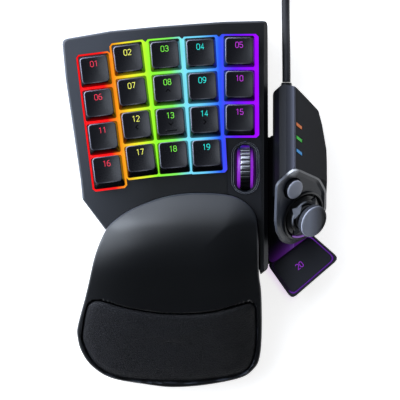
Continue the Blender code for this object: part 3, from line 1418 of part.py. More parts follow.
def make_paddle():
    """Key 20, its light line and its hinge pin."""
    at, turn = paddle_place()
    hinge = empty("paddle_frame", at, turn)
    blade = paddle_blade(PADDLE_NECK)
    loop = rounded(blade)
    low, high = PADDLE_LOW, PADDLE_LOW + PADDLE_THICKNESS
    edge = rounded(inset(blade, PADDLE_EDGE))
    rings = [
        at_height(edge, low), at_height(loop, low + PADDLE_EDGE), at_height(loop, high - PADDLE_EDGE),
        at_height(edge, high),
    ]
    paddle = place("key_20", skin("key_20", rings), "keys", hinge)
    tail = box_loop(
        PADDLE_TAIL_WIDTH, PADDLE_TAIL_LENGTH + PADDLE_NECK, -PADDLE_TAIL_SHIFT, -PADDLE_TAIL_LENGTH / 2
    )
    arm = prism("paddle_tail", tail, low + PADDLE_TAIL_STEP, high - PADDLE_TAIL_STEP)
    boolean(paddle, place("paddle_tail", arm, None, hinge), "UNION")
    bore = prism("paddle_bore", circle(PIN_RADIUS + GAP, 12), -PADDLE_ROOT_WIDTH, PADDLE_ROOT_WIDTH)
    boolean(paddle, place("paddle_bore", moved(bore, pin_matrix()), None, hinge))
    groove_outer = rounded(inset(blade, LIGHT_INSET - GAP))
    groove_inner = rounded(inset(blade, LIGHT_INSET + LIGHT_WIDTH + GAP))
    groove_low = high - LIGHT_DEPTH - GAP
    groove = ring_prism("light_groove", groove_outer, groove_inner, groove_low, high + OVERRUN)
    boolean(paddle, place("light_groove", groove, None, hinge))
    outer, inner = rounded(inset(blade, LIGHT_INSET)), rounded(inset(blade, LIGHT_INSET + LIGHT_WIDTH))
    strip = ring_prism("key_20_light", outer, inner, high - LIGHT_DEPTH, high)
    place("key_20_light", strip, "light", hinge)
    half = (PADDLE_TAIL_WIDTH + 2 * LUG_WIDTH) / 2
    pin = prism("thumb_key_pin", circle(PIN_RADIUS, 12), -half, half)
    place("thumb_key_pin", moved(pin, pin_matrix()), "steel", hinge)


# Cord
def cord_exit():
    """Where the cord passes the module's rear wall."""
    x = CORD_EXIT_X_SHARE * PLAN_WIDTH
    rear = max(p.y for p in outline(MODULE_SHARES))
    return Vector((x, rear - DECK_TAPER - WALL, CORD_EXIT_HEIGHT))


def tube(name, points, sides_step):
    """A round tube along points."""
    data = bpy.data.curves.new(name, "CURVE")
    data.dimensions = "3D"
    data.bevel_depth = CORD_DIAMETER / 2
    data.bevel_resolution = sides_step
    data.use_fill_caps = True
    run = data.splines.new("POLY")
    run.points.add(len(points) - 1)
    for slot, point in zip(run.points, points):
        slot.co = (*point, 1)
    return place(name, data, "cord")


def smooth_run(points, per_span):
    """An open smooth curve through route points."""
    ends = [2 * points[0] - points[1]] + points + [2 * points[-1] - points[-2]]
    line = []
    for a, b, c, d in zip(ends, ends[1:], ends[2:], ends[3:]):
        line += [between(a, b, c, d, k / per_span) for k in range(per_span)]
    return line + [points[-1]]


def coil_outer():
    """Radius of the coil's outermost turn."""
    return COIL_INNER_RADIUS + COIL_TURNS_A_LAYER * COIL_PITCH


def coil_floor():
    """Height of the lowest turn's centre."""
    return COIL_LIFT + CORD_DIAMETER / 2


def coil_centre():
    """The coil's middle, with the cord coming in along its right side."""
    return Vector((CORD_EXIT_X_SHARE * PLAN_WIDTH - coil_outer(), COIL_Y, 0))


def eased(share):
    """A smooth step."""
    share = max(0, min(1, share))
    return share * share * (3 - 2 * share)


def coil_points():
    """Turns that spiral in and out, climb a layer as they reverse, then cross the top."""
    centre = coil_centre()
    turns = COIL_LAYERS * COIL_TURNS_A_LAYER
    points = [centre + Vector((coil_outer(), -CORD_DIAMETER, coil_floor()))]
    for k in range(turns * COIL_POINTS_A_TURN + 1):
        turn = k / COIL_POINTS_A_TURN
        layer = min(int(turn // COIL_TURNS_A_LAYER), COIL_LAYERS - 1)
        inward = turn - layer * COIL_TURNS_A_LAYER
        share = inward if layer % 2 == 0 else COIL_TURNS_A_LAYER - inward
        radius = coil_outer() - COIL_PITCH * share
        climb = 0.0
        for step in range(1, COIL_LAYERS):
            climb += COIL_PITCH * eased((turn - step * COIL_TURNS_A_LAYER + 0.25) * 2)
        climb += COIL_END_CLIMB * eased((turn - turns) / COIL_END_CLIMB_SHARE + 1)
        angle = math.tau * turn
        across = Vector((radius * math.cos(angle), radius * math.sin(angle), coil_floor() + climb))
        points.append(centre + across)
    return points + coil_end(points[-1])


def coil_end(start):
    """The last part: it bends in over the top layer, then runs straight for the plug."""
    radius = COIL_INNER_RADIUS
    steps = 12
    tail = []
    for k in range(1, steps + 1):
        turn = COIL_CROSS_TURN * k / steps
        angle = math.tau * turn
        across = Vector((radius * math.cos(angle) - radius, radius * math.sin(angle), 0))
        tail.append(start + across)
    heading = Vector((-math.sin(math.tau * COIL_CROSS_TURN), math.cos(math.tau * COIL_CROSS_TURN), 0))
    tail.append(tail[-1] + heading * CORD_DIAMETER * 1.5)
    return tail


def least_gap(points):
    """The least clear space between turns of a tube."""
    far = COIL_POINTS_A_TURN // 2
    least = PLAN_LENGTH
    for i, a in enumerate(points):
        for b in points[i + far:]:
            least = min(least, (a - b).length)
    return least - CORD_DIAMETER


def make_cord():
    """Strain relief, free run, stored coil, tie and plug."""
    exit_at = cord_exit()
    end_y = WALL + GLAND_PROUD
    gland = turned("strain_relief", (
        (GLAND_FLANGE, -GLAND_LENGTH + end_y), (GLAND_FLANGE, -WALL - GAP), (GLAND_RADIUS, -WALL - GAP),
        (GLAND_RADIUS, WALL), (GLAND_END_RADIUS, end_y),
    ), 16)
    along = Matrix.Rotation(-math.pi / 2, 4, "X")
    place("strain_relief", moved(gland, along), "rubber", None, tuple(exit_at))
    start = exit_at + Vector((0, end_y + GAP, 0))
    coil = coil_points()
    target = coil[0]
    straight = Vector((0, CORD_DIAMETER, 0))
    first, last = start + straight, target - straight
    floor = CORD_DIAMETER / 2 + CORD_LIFT
    route = [first]
    for along, drop in CORD_ROUTE_SHARES:
        height = floor + drop * (first.z - floor)
        route.append(Vector((first.x, first.y + along * (last.y - first.y), height)))
    line = [start] + smooth_run(route + [last], 4) + [target - Vector((0, GAP, 0))]
    tube("cord_run", line, 2)
    tube("cord_coil", coil, 1)
    print("least gap between turns, mm:", round(least_gap(coil) * 1000, 3))
    length = sum((b - a).length for path in (line, coil) for a, b in zip(path, path[1:]))
    print("cord length, m:", round(length, 3))
    make_tie()
    make_plug(coil[-1], (coil[-1] - coil[-2]).normalized())


def make_tie():
    """Strap round the bundle, at the side where the layers lie still."""
    centre = coil_centre()
    room = CORD_DIAMETER / 2 + GAP
    inner_x = COIL_INNER_RADIUS + COIL_PITCH / 2 - room - TIE_SLACK
    outer_x = coil_outer() - COIL_PITCH / 2 + room
    low = coil_floor() - room
    high = coil_floor() + (COIL_LAYERS - 1) * COIL_PITCH + room
    width, height = outer_x - inner_x, high - low
    middle = Vector(((inner_x + outer_x) / 2, (low + high) / 2))
    inner = rounded(box_loop(width, height, middle.x, middle.y), CORD_DIAMETER / 2, 2)
    outer = rounded(
        box_loop(width + 2 * TIE_THICKNESS, height + 2 * TIE_THICKNESS, middle.x, middle.y),
        CORD_DIAMETER / 2, 2,
    )
    band = ring_prism("cord_tie", outer, inner, -TIE_WIDTH / 2, TIE_WIDTH / 2)
    stand = Matrix.Rotation(math.pi / 2, 4, "X")
    place("cord_tie", moved(band, stand), "rubber", None, tuple(centre), (0, 0, math.pi))


def make_plug(start, heading):
    """Moulded grip and the metal shell of the plug, lying on the coil."""
    turn = math.atan2(heading.y, heading.x)
    frame = empty("plug_frame", start + heading * GAP, (0, 0, turn))

    def section(x, width, height):
        loop = rounded(box_loop(width, height), height / 4, 2)
        return [Vector((x, p.x, p.y)) for p in loop]

    thin = CORD_DIAMETER + 2 * PLUG_GRIP_WALL
    rings = [
        section(0, thin, thin),
        section(PLUG_GRIP_TAPER, PLUG_GRIP_WIDTH - 2 * PLUG_GRIP_WALL, PLUG_GRIP_HEIGHT - PLUG_GRIP_WALL),
        section(2 * PLUG_GRIP_TAPER, PLUG_GRIP_WIDTH, PLUG_GRIP_HEIGHT),
        section(PLUG_GRIP_LENGTH, PLUG_GRIP_WIDTH, PLUG_GRIP_HEIGHT),
    ]
    place("plug_grip", skin("plug_grip", rings), "rubber", frame)
    nose = PLUG_GRIP_LENGTH + GAP
    shell = place("plug_shell", skin("plug_shell", [
        section(x, PLUG_SHELL_WIDTH, PLUG_SHELL_HEIGHT) for x in (nose, nose + PLUG_SHELL_LENGTH)
    ]), "steel", frame)
    mouth = box_loop(
        PLUG_SHELL_WIDTH - 2 * PLUG_SHELL_WALL, PLUG_SHELL_HEIGHT / 2 - PLUG_SHELL_WALL,
        0, PLUG_SHELL_HEIGHT / 4 - PLUG_SHELL_WALL / 2,
    )
    reach = (nose + PLUG_MOUTH_STEP, nose + PLUG_SHELL_LENGTH + OVERRUN)
    ends = [[Vector((x, p.x, p.y)) for p in mouth] for x in reach]
    boolean(shell, place("plug_mouth", skin("plug_mouth", ends), None, frame))


def main():
    """Build every piece."""
    clear_scene()
    make_bottom_housing()
    make_top_housing()
    make_key_support()
    make_keys()
    make_wheel()
    frame = control_frame()
    make_thumb_housing(frame)
    make_indicators()
    make_controls(frame)
    make_paddle()
    make_palm_rest()
    make_feet()
    make_screws()
    make_cord()
    bpy.context.view_layer.update()


main()
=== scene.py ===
# %% [markdown]
# # A gaming keypad, dressed for its picture
# The solids of the keypad come from a shared frame, each on the body that it moves with. This
# notebook gives them finishes, and puts finer pieces in place of the ones that are seen close up.
# Every step first says what the piece is on the real object, and then why it is made this way.

# %% The frame
import math

import bmesh
import bpy
import numpy as np
from mathutils import Matrix, Vector


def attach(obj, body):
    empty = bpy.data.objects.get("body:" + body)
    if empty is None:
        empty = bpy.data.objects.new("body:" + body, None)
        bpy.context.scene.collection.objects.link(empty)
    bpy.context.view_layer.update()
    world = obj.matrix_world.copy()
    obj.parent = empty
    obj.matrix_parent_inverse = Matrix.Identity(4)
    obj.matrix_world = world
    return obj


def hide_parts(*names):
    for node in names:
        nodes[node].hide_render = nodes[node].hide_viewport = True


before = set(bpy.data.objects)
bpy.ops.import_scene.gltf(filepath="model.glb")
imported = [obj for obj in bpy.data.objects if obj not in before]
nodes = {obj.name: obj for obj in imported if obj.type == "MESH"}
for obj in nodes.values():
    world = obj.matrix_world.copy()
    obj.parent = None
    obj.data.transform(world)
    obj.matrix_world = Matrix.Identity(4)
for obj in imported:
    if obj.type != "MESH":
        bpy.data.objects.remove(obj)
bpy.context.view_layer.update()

scene = bpy.context.scene
MM = 0.001

# %% [markdown]
# ## The camera
# The picture looks straight down from far away, so that a millimetre is as long at the front of
# the keypad as at its back. A long lens does that. Its frame is 220 mm wide at the height of the
# deck that the keys stand in.

# %% Camera
EYE_HEIGHT, DECK_HEIGHT, SEEN_WIDTH, FILM = 1.6, 0.038, 0.220, 36


def shown(name, data):
    """A new object of the scene."""
    item = bpy.data.objects.new(name, data)
    scene.collection.objects.link(item)
    return item


camera_data = bpy.data.cameras.new("camera")
camera_data.sensor_width = FILM
camera_data.lens = FILM * (EYE_HEIGHT - DECK_HEIGHT) / SEEN_WIDTH
camera_data.clip_start, camera_data.clip_end = 0.05, 20
scene.camera = shown("camera", camera_data)
scene.camera.location = (-0.25 * MM, 2.78 * MM, EYE_HEIGHT)
scene.view_settings.view_transform = "Standard"
print("lens", round(camera_data.lens), "mm")

# %% [markdown]
# ## Materials as small sums
# A finish is a few patterns added and multiplied. Writing that as node links is long, so one class
# wraps the output of a node. Adding or multiplying it adds a Math node, and the shader reads the
# result. A second class holds the material, and makes every other node by one method.

# %% Shader helpers
BLACK = (0, 0, 0, 1)


def paint(red, green, blue):
    """A colour of a paint chart, 0 to 255, as the linear colour that a shader takes."""
    parts = [value / 255 for value in (red, green, blue)]
    return tuple(p / 12.92 if p <= 0.04045 else ((p + 0.055) / 1.055) ** 2.4 for p in parts) + (1.0,)


def shade(color, share):
    """The same colour, darker or lighter by a share."""
    return tuple(min(1.0, part * share) for part in color[:3]) + (1.0,)


def set_stops(ramp, stops):
    """Give a colour ramp its places and colours."""
    made = ramp.elements
    made[0].position, made[1].position = stops[0][0], stops[-1][0]
    for at, _ in stops[1:-1]:
        made.new(at)
    for stop, (_, color) in zip(made, stops):
        stop.color = color


class Signal:
    """The output of a shader node; arithmetic on it adds Math nodes."""

    def __init__(self, look, socket):
        self.look, self.socket = look, socket

    def math(self, operation, *values):
        return self.look.node("ShaderNodeMath", {"operation": operation}, values)

    def __add__(self, other):
        return self.math("ADD", self, other)

    def __sub__(self, other):
        return self.math("SUBTRACT", self, other)

    def __rsub__(self, other):
        return self.math("SUBTRACT", other, self)

    def __mul__(self, other):
        return self.math("MULTIPLY", self, other)

    def __truediv__(self, other):
        return self.math("DIVIDE", self, other)

    __radd__, __rmul__ = __add__, __mul__

    def most(self, other):
        return self.math("MAXIMUM", self, other)

    def clipped(self):
        return self.math("MINIMUM", self.most(0.0), 1.0)

    def rising(self, start, length):
        """0 before start and 1 a length later, both in mm; a negative length falls."""
        return ((self - start * MM) / (length * MM)).clipped()


class Look:
    """A material: one Principled shader, with the nodes that feed it."""

    def __init__(self, name, slot, **settings):
        self.material = bpy.data.materials.new(name)
        self.material.use_nodes = True
        self.tree = self.material.node_tree
        self.shader = self.tree.nodes["Principled BSDF"]
        self.slot = slot
        self.wire(**settings)

    def wire(self, **settings):
        """Give the shader's sockets values or links; base_color is the socket Base Color."""
        for name, value in settings.items():
            words = (word if word == "IOR" else word.capitalize() for word in name.split("_"))
            self.feed(self.shader.inputs[" ".join(words)], value)

    def feed(self, socket, value):
        if isinstance(value, Signal):
            self.tree.links.new(value.socket, socket)
        else:
            socket.default_value = value

    def fed(self, label):
        """What feeds a socket of the shader."""
        return Signal(self, self.shader.inputs[label].links[0].from_socket)

    def node(self, kind, settings=None, values=(), out=0):
        """Any node, from its type, its settings and the values or links of its sockets."""
        made = self.tree.nodes.new(kind)
        for name, value in (settings or {}).items():
            if name == "stops":
                set_stops(made.color_ramp, value)
            else:
                setattr(made, name, value)
        for key, value in values.items() if isinstance(values, dict) else enumerate(values):
            self.feed(made.inputs[key], value)
        return Signal(self, made.outputs[out])

    def place(self):
        """Where a point lies on its piece, in metres."""
        return self.node("ShaderNodeTexCoord", out=3)

    def axis(self, k):
        return self.node("ShaderNodeSeparateXYZ", None, [self.place()], k)

    def facing(self, k):
        """One part of the surface's direction."""
        return self.node("ShaderNodeSeparateXYZ", None, [self.node("ShaderNodeNewGeometry", out=1)], k)

    def noise(self, scale, detail=2.0, rough=0.5):
        values = {"Vector": self.place(), "Scale": scale, "Detail": detail, "Roughness": rough}
        return self.node("ShaderNodeTexNoise", None, values)

    def mix(self, share, first, second, blend="MIX"):
        settings = {"data_type": "RGBA", "blend_type": blend}
        return self.node("ShaderNodeMix", settings, {0: share, 6: first, 7: second}, 2)

    def tint(self, share, color):
        """Mix a colour into the base colour by a share."""
        self.wire(base_color=self.mix(share, self.fed("Base Color"), color))

    def bump(self, height, depth):
        return self.node("ShaderNodeBump", None, {"Height": height, "Distance": depth * MM})


# %% [markdown]
# ## Moulded plastic
# The housing is sprayed with a matt soft-touch paint over moulded plastic. Close up it has a very
# fine grain, and where hands rest it is a little smoother and darker. Two noises give that: a broad
# one moves the colour and the roughness by a few per cent, and one of a third of a millimetre
# raises the grain. The same recipe, with other numbers, makes the key caps, the trim and the rubber.

# %% Plastics


def moulded(name, slot, color, roughness, grain=2800, depth=0.012, swing=0.12, **constants):
    """A painted or moulded plastic with a fine grain and slow changes in colour and gloss."""
    look = Look(name, slot, roughness=roughness, **constants)
    worn = (look.noise(26, 3) - 0.5) * 2.0 * swing
    fine = look.noise(grain, 2, 0.6)
    dark, light = shade(paint(*color), 1 - swing), shade(paint(*color), 1 + swing)
    look.wire(
        base_color=look.mix((0.5 + worn * 2.0).clipped(), dark, light),
        roughness=(roughness + worn * 0.35 + (fine - 0.5) * 0.08).clipped(),
        normal=look.bump(fine, depth),
    )
    return look


def painted_edge_highlight_and_shade(look, highlight_color, level, left, rear):
    """Painted highlight on a finish's chamfers, by a level and more where they face left or rear; painted
    shade on walls.
    """
    x, y, z = (look.facing(k) for k in range(3))
    chamfer = ((0.96 - z) * 2.2).clipped() * (z * 5.0).clipped()
    # Painted highlight: pale chamfers, more where they face the lamps at the left and rear.
    look.tint(chamfer * (y * rear - x * left + level).clipped(), paint(*highlight_color))
    # Painted shade: steep walls and undersides are darkened towards black.
    look.tint(((0.4 - z) * 5.0).clipped() * 0.8, BLACK)


housing_paint = moulded("housing_paint", "housing_plastic", (14, 15, 17), 0.36)
# Painted light: the housing is paler towards the left and rear, where the lamps are.
housing_paint.tint((housing_paint.axis(1) * 0.35 - housing_paint.axis(0)).rising(27, 60), paint(56, 59, 66))
# Painted highlight on the housing's chamfers, and painted shade on its walls.
painted_edge_highlight_and_shade(housing_paint, (138, 144, 156), 0.0, 1.15, 0.9)
tray_plastic = moulded("tray_plastic", "housing_plastic", (15, 15, 17), 0.55, 1500, 0.03)
panel_paint = moulded("panel_paint", "housing_plastic", (21, 22, 26), 0.34)
bezel_paint = moulded("bezel_paint", "trim_plastic", (36, 38, 44), 0.32)
# Pale paint for the painted highlight lines on the bezel.
highlight_line_paint = moulded("highlight_line_paint", "trim_plastic", (150, 153, 162), 0.3)
button_paint = moulded("button_paint", "grey_cap", (188, 191, 205), 0.40)
gloss_paint = moulded("gloss_paint", "gloss_black", (13, 13, 15), 0.34, 900, 0.004)
thumb_key_paint = moulded("thumb_key_paint", "key_plastic", (42, 43, 49), 0.38)
dark_rubber = moulded("dark_rubber", "grey_cap", (58, 60, 68), 0.5, 1900, 0.025)
foot_rubber = moulded("foot_rubber", "rubber", (22, 22, 23), 0.85, 1300, 0.05)
grip_rubber = moulded("grip_rubber", "rubber", (28, 28, 31), 0.62, 1600, 0.03)
dome_silicone = moulded("dome_silicone", "dome_rubber", (196, 198, 200), 0.55, 1200, 0.02)

# %% [markdown]
# The disc's black plastic has a painted highlight on the facets that look up. The stick's grey rubber
# has painted shade: it is darker to the right, away from the lamps.

# %% Disc and stick
disc_highlight_paint = moulded("disc_highlight_paint", "gloss_black", (13, 13, 15), 0.4)
# Painted highlight: the disc's facets that look up are pale.
disc_highlight_paint.tint(((disc_highlight_paint.facing(2) - 0.80) * 7.0).clipped(), paint(178, 182, 194))
cap_rubber = moulded("cap_rubber", "grey_cap", (186, 190, 206), 0.52, 1900, 0.025, specular_IOR_level=0.25)
# Painted shade: the stick's rubber darkens to the right, away from the lamps.
cap_rubber.tint(cap_rubber.axis(0).rising(59.5, 7.5), paint(26, 28, 32))

# %% [markdown]
# The thumb module has painted shade and a painted highlight: its tone changes from left to right,
# with a pale line along its ridge. Its foot has a painted violet glow, standing in for the light of
# the thumb key beside it. That key stands askew, so its own two directions are sums of x and y. The
# plate on the module has a painted highlight: it is paler along its left edge, and palest at its tip.

# %% Thumb module
KEY_COS, KEY_SIN = 0.7934, 0.6088
MODULE_SHADE_AND_HIGHLIGHT = (
    (0, 0.03), (0.1, 0.04), (0.17, 0.10), (0.225, 0.26), (0.265, 0.70), (0.285, 0.9), (0.297, 1.6),
    (0.302, 0.06), (0.36, 0.12), (0.75, 0.06),
)
TIP_HIGHLIGHT_PLACE, TIP_HIGHLIGHT_REACH = (49.6, 19.0), 4.5


def key_directions(look):
    """How far a point lies outwards along the thumb key, and sideways."""
    x, y = look.axis(0), look.axis(1)
    return x * KEY_SIN + y * -KEY_COS, x * KEY_COS + y * KEY_SIN


def module_finish():
    look = moulded("module_paint", "housing_plastic", (96, 98, 112), 0.32, specular_IOR_level=0.08)
    stops = [(at, (tone, tone, tone, 1)) for at, tone in MODULE_SHADE_AND_HIGHLIGHT]
    # Painted shade and highlight across the module, from left to right, palest on the ridge.
    across = look.node("ShaderNodeValToRGB", {"stops": stops}, [look.axis(0).rising(40, 40)])
    near, low = key_directions(look)[0].rising(39.3, 9.5), look.axis(2).rising(30, -8)
    # Painted glow: violet emission on the module's foot near the thumb key, standing in for its light.
    glow = near * near * low * (look.axis(0).rising(39, 13) * 0.75 + 0.25)
    look.wire(
        base_color=look.mix(1.0, look.fed("Base Color"), across, "MULTIPLY"),
        emission_color=look.mix(glow, BLACK, paint(74, 24, 108)), emission_strength=1.0,
    )
    return look


def plate_finish():
    look = moulded("plate_paint", "trim_plastic", (36, 38, 45), 0.34)
    left, level = look.axis(0).rising(47.2, -7), look.axis(1).rising(-20, 14)
    # Painted highlight along the plate's left edge.
    look.tint(left * level * 0.8, paint(112, 117, 130))
    # Painted highlight, palest at the plate's tip.
    apart = [(look.axis(k) - at * MM) / (TIP_HIGHLIGHT_REACH * MM) for k, at in enumerate(TIP_HIGHLIGHT_PLACE)]
    tip = (1.0 - apart[0] * apart[0] - apart[1] * apart[1]).clipped()
    look.tint(tip * tip, paint(246, 248, 252))
    return look


module_paint, plate_paint = module_finish(), plate_finish()
print("plastics:", len(bpy.data.materials))

# %% [markdown]
# ## Lights under the keys
# A clear plate under the keys carries the light of many small lamps, each with its own colour. The
# colour runs across the five columns from red to purple, and the plate shows as bright strips
# between the caps. The columns fan out, so the colour follows a column number worked out from a
# point's place: the distance from the last column, divided by a column spacing that widens to the
# rear. Between keys of one column the strips keep that column's colour.

# %% Light plate
LAST_COLUMN_X, SPACING, SPACING_Y, FAN = 21.4, 18.2, 20.0, 0.0295
RAINBOW = (
    (-0.5, (246, 8, 14)), (0.2, (248, 14, 14)), (0.5, (240, 146, 20)), (0.9, (244, 226, 44)),
    (1.3, (200, 246, 48)), (1.55, (140, 246, 42)), (2.1, (128, 238, 96)), (2.5, (120, 218, 244)),
    (2.9, (110, 208, 246)), (3.45, (36, 84, 238)), (3.85, (96, 30, 246)), (4.45, (156, 0, 255)),
)


def glowing(name, color, strength, rough=0.3):
    """A clear or white plastic that is lit from inside, a little unevenly."""
    color = paint(*color)
    look = Look(name, "light_guide", roughness=rough, emission_strength=strength)
    look.wire(
        base_color=shade(color, 0.5), normal=look.bump(look.noise(2200), 0.01),
        emission_color=look.mix((look.noise(140) * 0.5).clipped(), color, shade(color, 0.72)),
    )
    return look


def key_glow():
    """The light plate's finish, one colour after another across the columns."""
    look = Look("key_glow", "light_guide", roughness=0.3, emission_strength=1.2)
    spacing = (SPACING - SPACING_Y * FAN) * MM + look.axis(1) * FAN
    column = 4.0 + (look.axis(0) - LAST_COLUMN_X * MM) / spacing
    stops = [((number + 0.6) / 5.2, paint(*color)) for number, color in RAINBOW]
    rainbow = look.node("ShaderNodeValToRGB", {"stops": stops}, [((column + 0.6) / 5.2).clipped()])
    uneven = look.mix((look.noise(85) * 0.7).clipped(), rainbow, paint(12, 8, 20))
    lit = look.mix(0.30, rainbow, uneven)
    look.wire(
        base_color=look.mix(0.65, lit, BLACK), emission_color=lit,
        normal=look.bump(look.noise(1800), 0.01),
    )
    return look


def lit_where(look, share, dim, base):
    """Dim a glow outside a share of it."""
    look.wire(
        emission_color=look.mix(share, paint(*dim), look.fed("Emission Color")), base_color=paint(*base)
    )


light_guide = key_glow()
# Violet emission for a painted glow on the disc's rim.
painted_ring_glow = glowing("painted_ring_glow", (128, 84, 168), 0.8)

# %% [markdown]
# The wheel's clear flanges are lit. They are bright in the middle of the slot and dark towards its
# ends, a painted shade where the bezel shades them. The line in the thumb key is lit at its outer and
# right sides, and dim at its root and left.

# %% Wheel, thumb key, indicators and numbers
wheel_glow = glowing("wheel_glow", (150, 44, 214), 0.95)
along = (wheel_glow.axis(1) - 19.4 * MM) / (11.5 * MM)
# Painted shade: the flanges' glow dims towards the ends of the slot.
lit_where(wheel_glow, (1.25 - along * along * 1.25).clipped(), (16, 4, 26), (16, 8, 22))
key_20_glow = glowing("key_20_glow", (98, 40, 156), 0.8)
outwards, sideways = key_directions(key_20_glow)
lit_where(key_20_glow, outwards.rising(67.4, 1.5).most(sideways.rising(36.2, 1.5)), (20, 6, 32), (14, 8, 20))
INDICATOR_GLOWS = [
    glowing(f"indicator_{word}", color, 0.62)
    for word, color in (("orange", (200, 100, 20)), ("green", (14, 172, 26)), ("blue", (22, 128, 196)))
]
LEGEND_GLOWS = [
    glowing(f"legend_{word}", color, 1.15, 0.4)
    for word, color in (
        ("red", (212, 42, 68)), ("yellow", (224, 224, 92)), ("green", (110, 214, 58)),
        ("cyan", (34, 206, 196)), ("purple", (170, 42, 190)), ("violet", (142, 40, 190)),
    )
]
print("glows:", 4 + len(INDICATOR_GLOWS) + len(LEGEND_GLOWS))

# %% [markdown]
# ## Metal, boards and leather
# Steel parts are turned or stamped, so fine scratches run over them. The circuit boards are green
# lacquer over copper tracks. The palm pad is smooth black leather: its grain is a net of small cells
# with soft creases between them, which a Voronoi pattern gives, and broad folds change its gloss.
# It has painted shade: it is darker to the right, away from the lamps.

# %% Metal, boards and leather


def brushed(name, color, roughness):
    """Steel with fine scratches."""
    color = paint(*color)
    look = Look(name, "steel", metallic=1.0, roughness=roughness)
    scratches = look.noise(2600, 4, 0.7)
    look.wire(
        base_color=look.mix(look.noise(60), shade(color, 0.86), color),
        roughness=(roughness + (scratches - 0.5) * 0.3).clipped(), normal=look.bump(scratches, 0.008),
    )
    return look


def cells(look, place, scale, feature="F1"):
    return look.node("ShaderNodeTexVoronoi", {"feature": feature}, {"Vector": place, "Scale": scale})


def printed_board():
    """Green lacquer over copper tracks and pads."""
    look = Look("printed_board", "board", roughness=0.4)
    tracks, pads = cells(look, look.place(), 260, "DISTANCE_TO_EDGE"), cells(look, look.place(), 190)
    copper, tin = tracks.math("LESS_THAN", tracks, 0.08), pads.math("LESS_THAN", pads, 0.16)
    lacquer = look.mix(copper, paint(14, 66, 40), paint(30, 104, 58))
    look.wire(
        base_color=look.mix(tin, lacquer, paint(186, 188, 180)), metallic=tin * 0.9,
        roughness=0.42 - tin * 0.14, normal=look.bump(copper + tin, 0.03),
    )
    return look


def grained_leather():
    """Black leather; its places are pushed about by a noise, so that the cells look grown."""
    look = Look("pad_leather", "leather", roughness=0.5, specular_IOR_level=0.24, sheen_weight=0.02)
    values = {"Vector": look.place(), "Scale": 900, "Detail": 1.0}
    push = look.node("ShaderNodeTexNoise", None, values, 1)
    away = look.node("ShaderNodeVectorMath", {"operation": "SCALE"}, {0: push, 3: 0.0007})
    grown = look.node("ShaderNodeVectorMath", {"operation": "ADD"}, [look.place(), away])
    creases = (cells(look, grown, 780, "DISTANCE_TO_EDGE") * 6.0).clipped()
    folds = look.noise(38, 3)
    # Painted shade: the leather is darker to the right, away from the lamps.
    light = look.mix(look.axis(0).rising(20, -80), paint(15, 15, 17), paint(33, 33, 38))
    look.wire(
        base_color=look.mix((creases * 0.7 + folds * 0.4).clipped(), paint(8, 8, 9), light),
        roughness=(0.62 - creases * 0.14 + (folds - 0.5) * 0.16).clipped(),
        normal=look.bump(creases + look.noise(4200) * 0.3 + folds * 0.3, 0.16),
    )
    return look


bright_steel = brushed("bright_steel", (186, 188, 192), 0.3)
screw_steel = brushed("screw_steel", (120, 122, 126), 0.34)
board_lacquer, pad_leather = printed_board(), grained_leather()
print("materials so far:", len(bpy.data.materials))

# %% [markdown]
# ## Making pieces
# Most pieces here are skins: closed rings of points, one above another, with faces between them.
# Sizes are written in millimetres and scaled once, when the mesh is made. Each finished piece is an
# object at the origin with its place in its mesh. It rides on a body, and may stand for CAD nodes.

# %% Mesh helpers
SHARP = math.radians(38)


def mesh_of(name, parts, looks=()):
    """A mesh from (points in mm, faces) parts; its normals look outwards and sharp creases stay."""
    made = bmesh.new()
    for number, (points, faces) in enumerate(parts):
        corners = [made.verts.new(Vector(p) * MM) for p in points]
        for face in faces:
            side = made.faces.new([corners[k] for k in face])
            side.smooth = True
            side.material_index = min(number, max(len(looks) - 1, 0))
    bmesh.ops.recalc_face_normals(made, faces=made.faces)
    mesh = bpy.data.meshes.new(name)
    made.to_mesh(mesh)
    made.free()
    mesh.set_sharp_from_angle(angle=SHARP)
    for look in looks:
        mesh.materials.append(look.material)
    return mesh


def piece(name, mesh, look, body, *replaced):
    """The mesh as a piece of the object that rides on a body."""
    item = shown(name, mesh)
    if not mesh.materials:
        mesh.materials.append(look.material)
    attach(item, body)
    if replaced:
        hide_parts(*replaced)
    return item


def shaped(name, parts, look, body, *replaced):
    """A piece made of parts in mm."""
    return piece(name, mesh_of(name, parts), look, body, *replaced)


def skin(rings, closed=False):
    """Points and faces through rings; the ends are capped, or the last ring meets the first."""
    count = len(rings[0])
    points = [tuple(p) for ring in rings for p in ring]
    ups = range(len(rings)) if closed else range(len(rings) - 1)
    faces = []
    for r in ups:
        a, b = r * count, (r + 1) % len(rings) * count
        faces += [(a + k, a + (k + 1) % count, b + (k + 1) % count, b + k) for k in range(count)]
    if not closed:
        faces.append(tuple(range(count))[::-1])
        faces.append(tuple((len(rings) - 1) * count + k for k in range(count)))
    return points, faces


def moved(part, matrix):
    """The same part, placed by a matrix in mm."""
    points, faces = part
    return [tuple(matrix @ Vector(p)) for p in points], faces


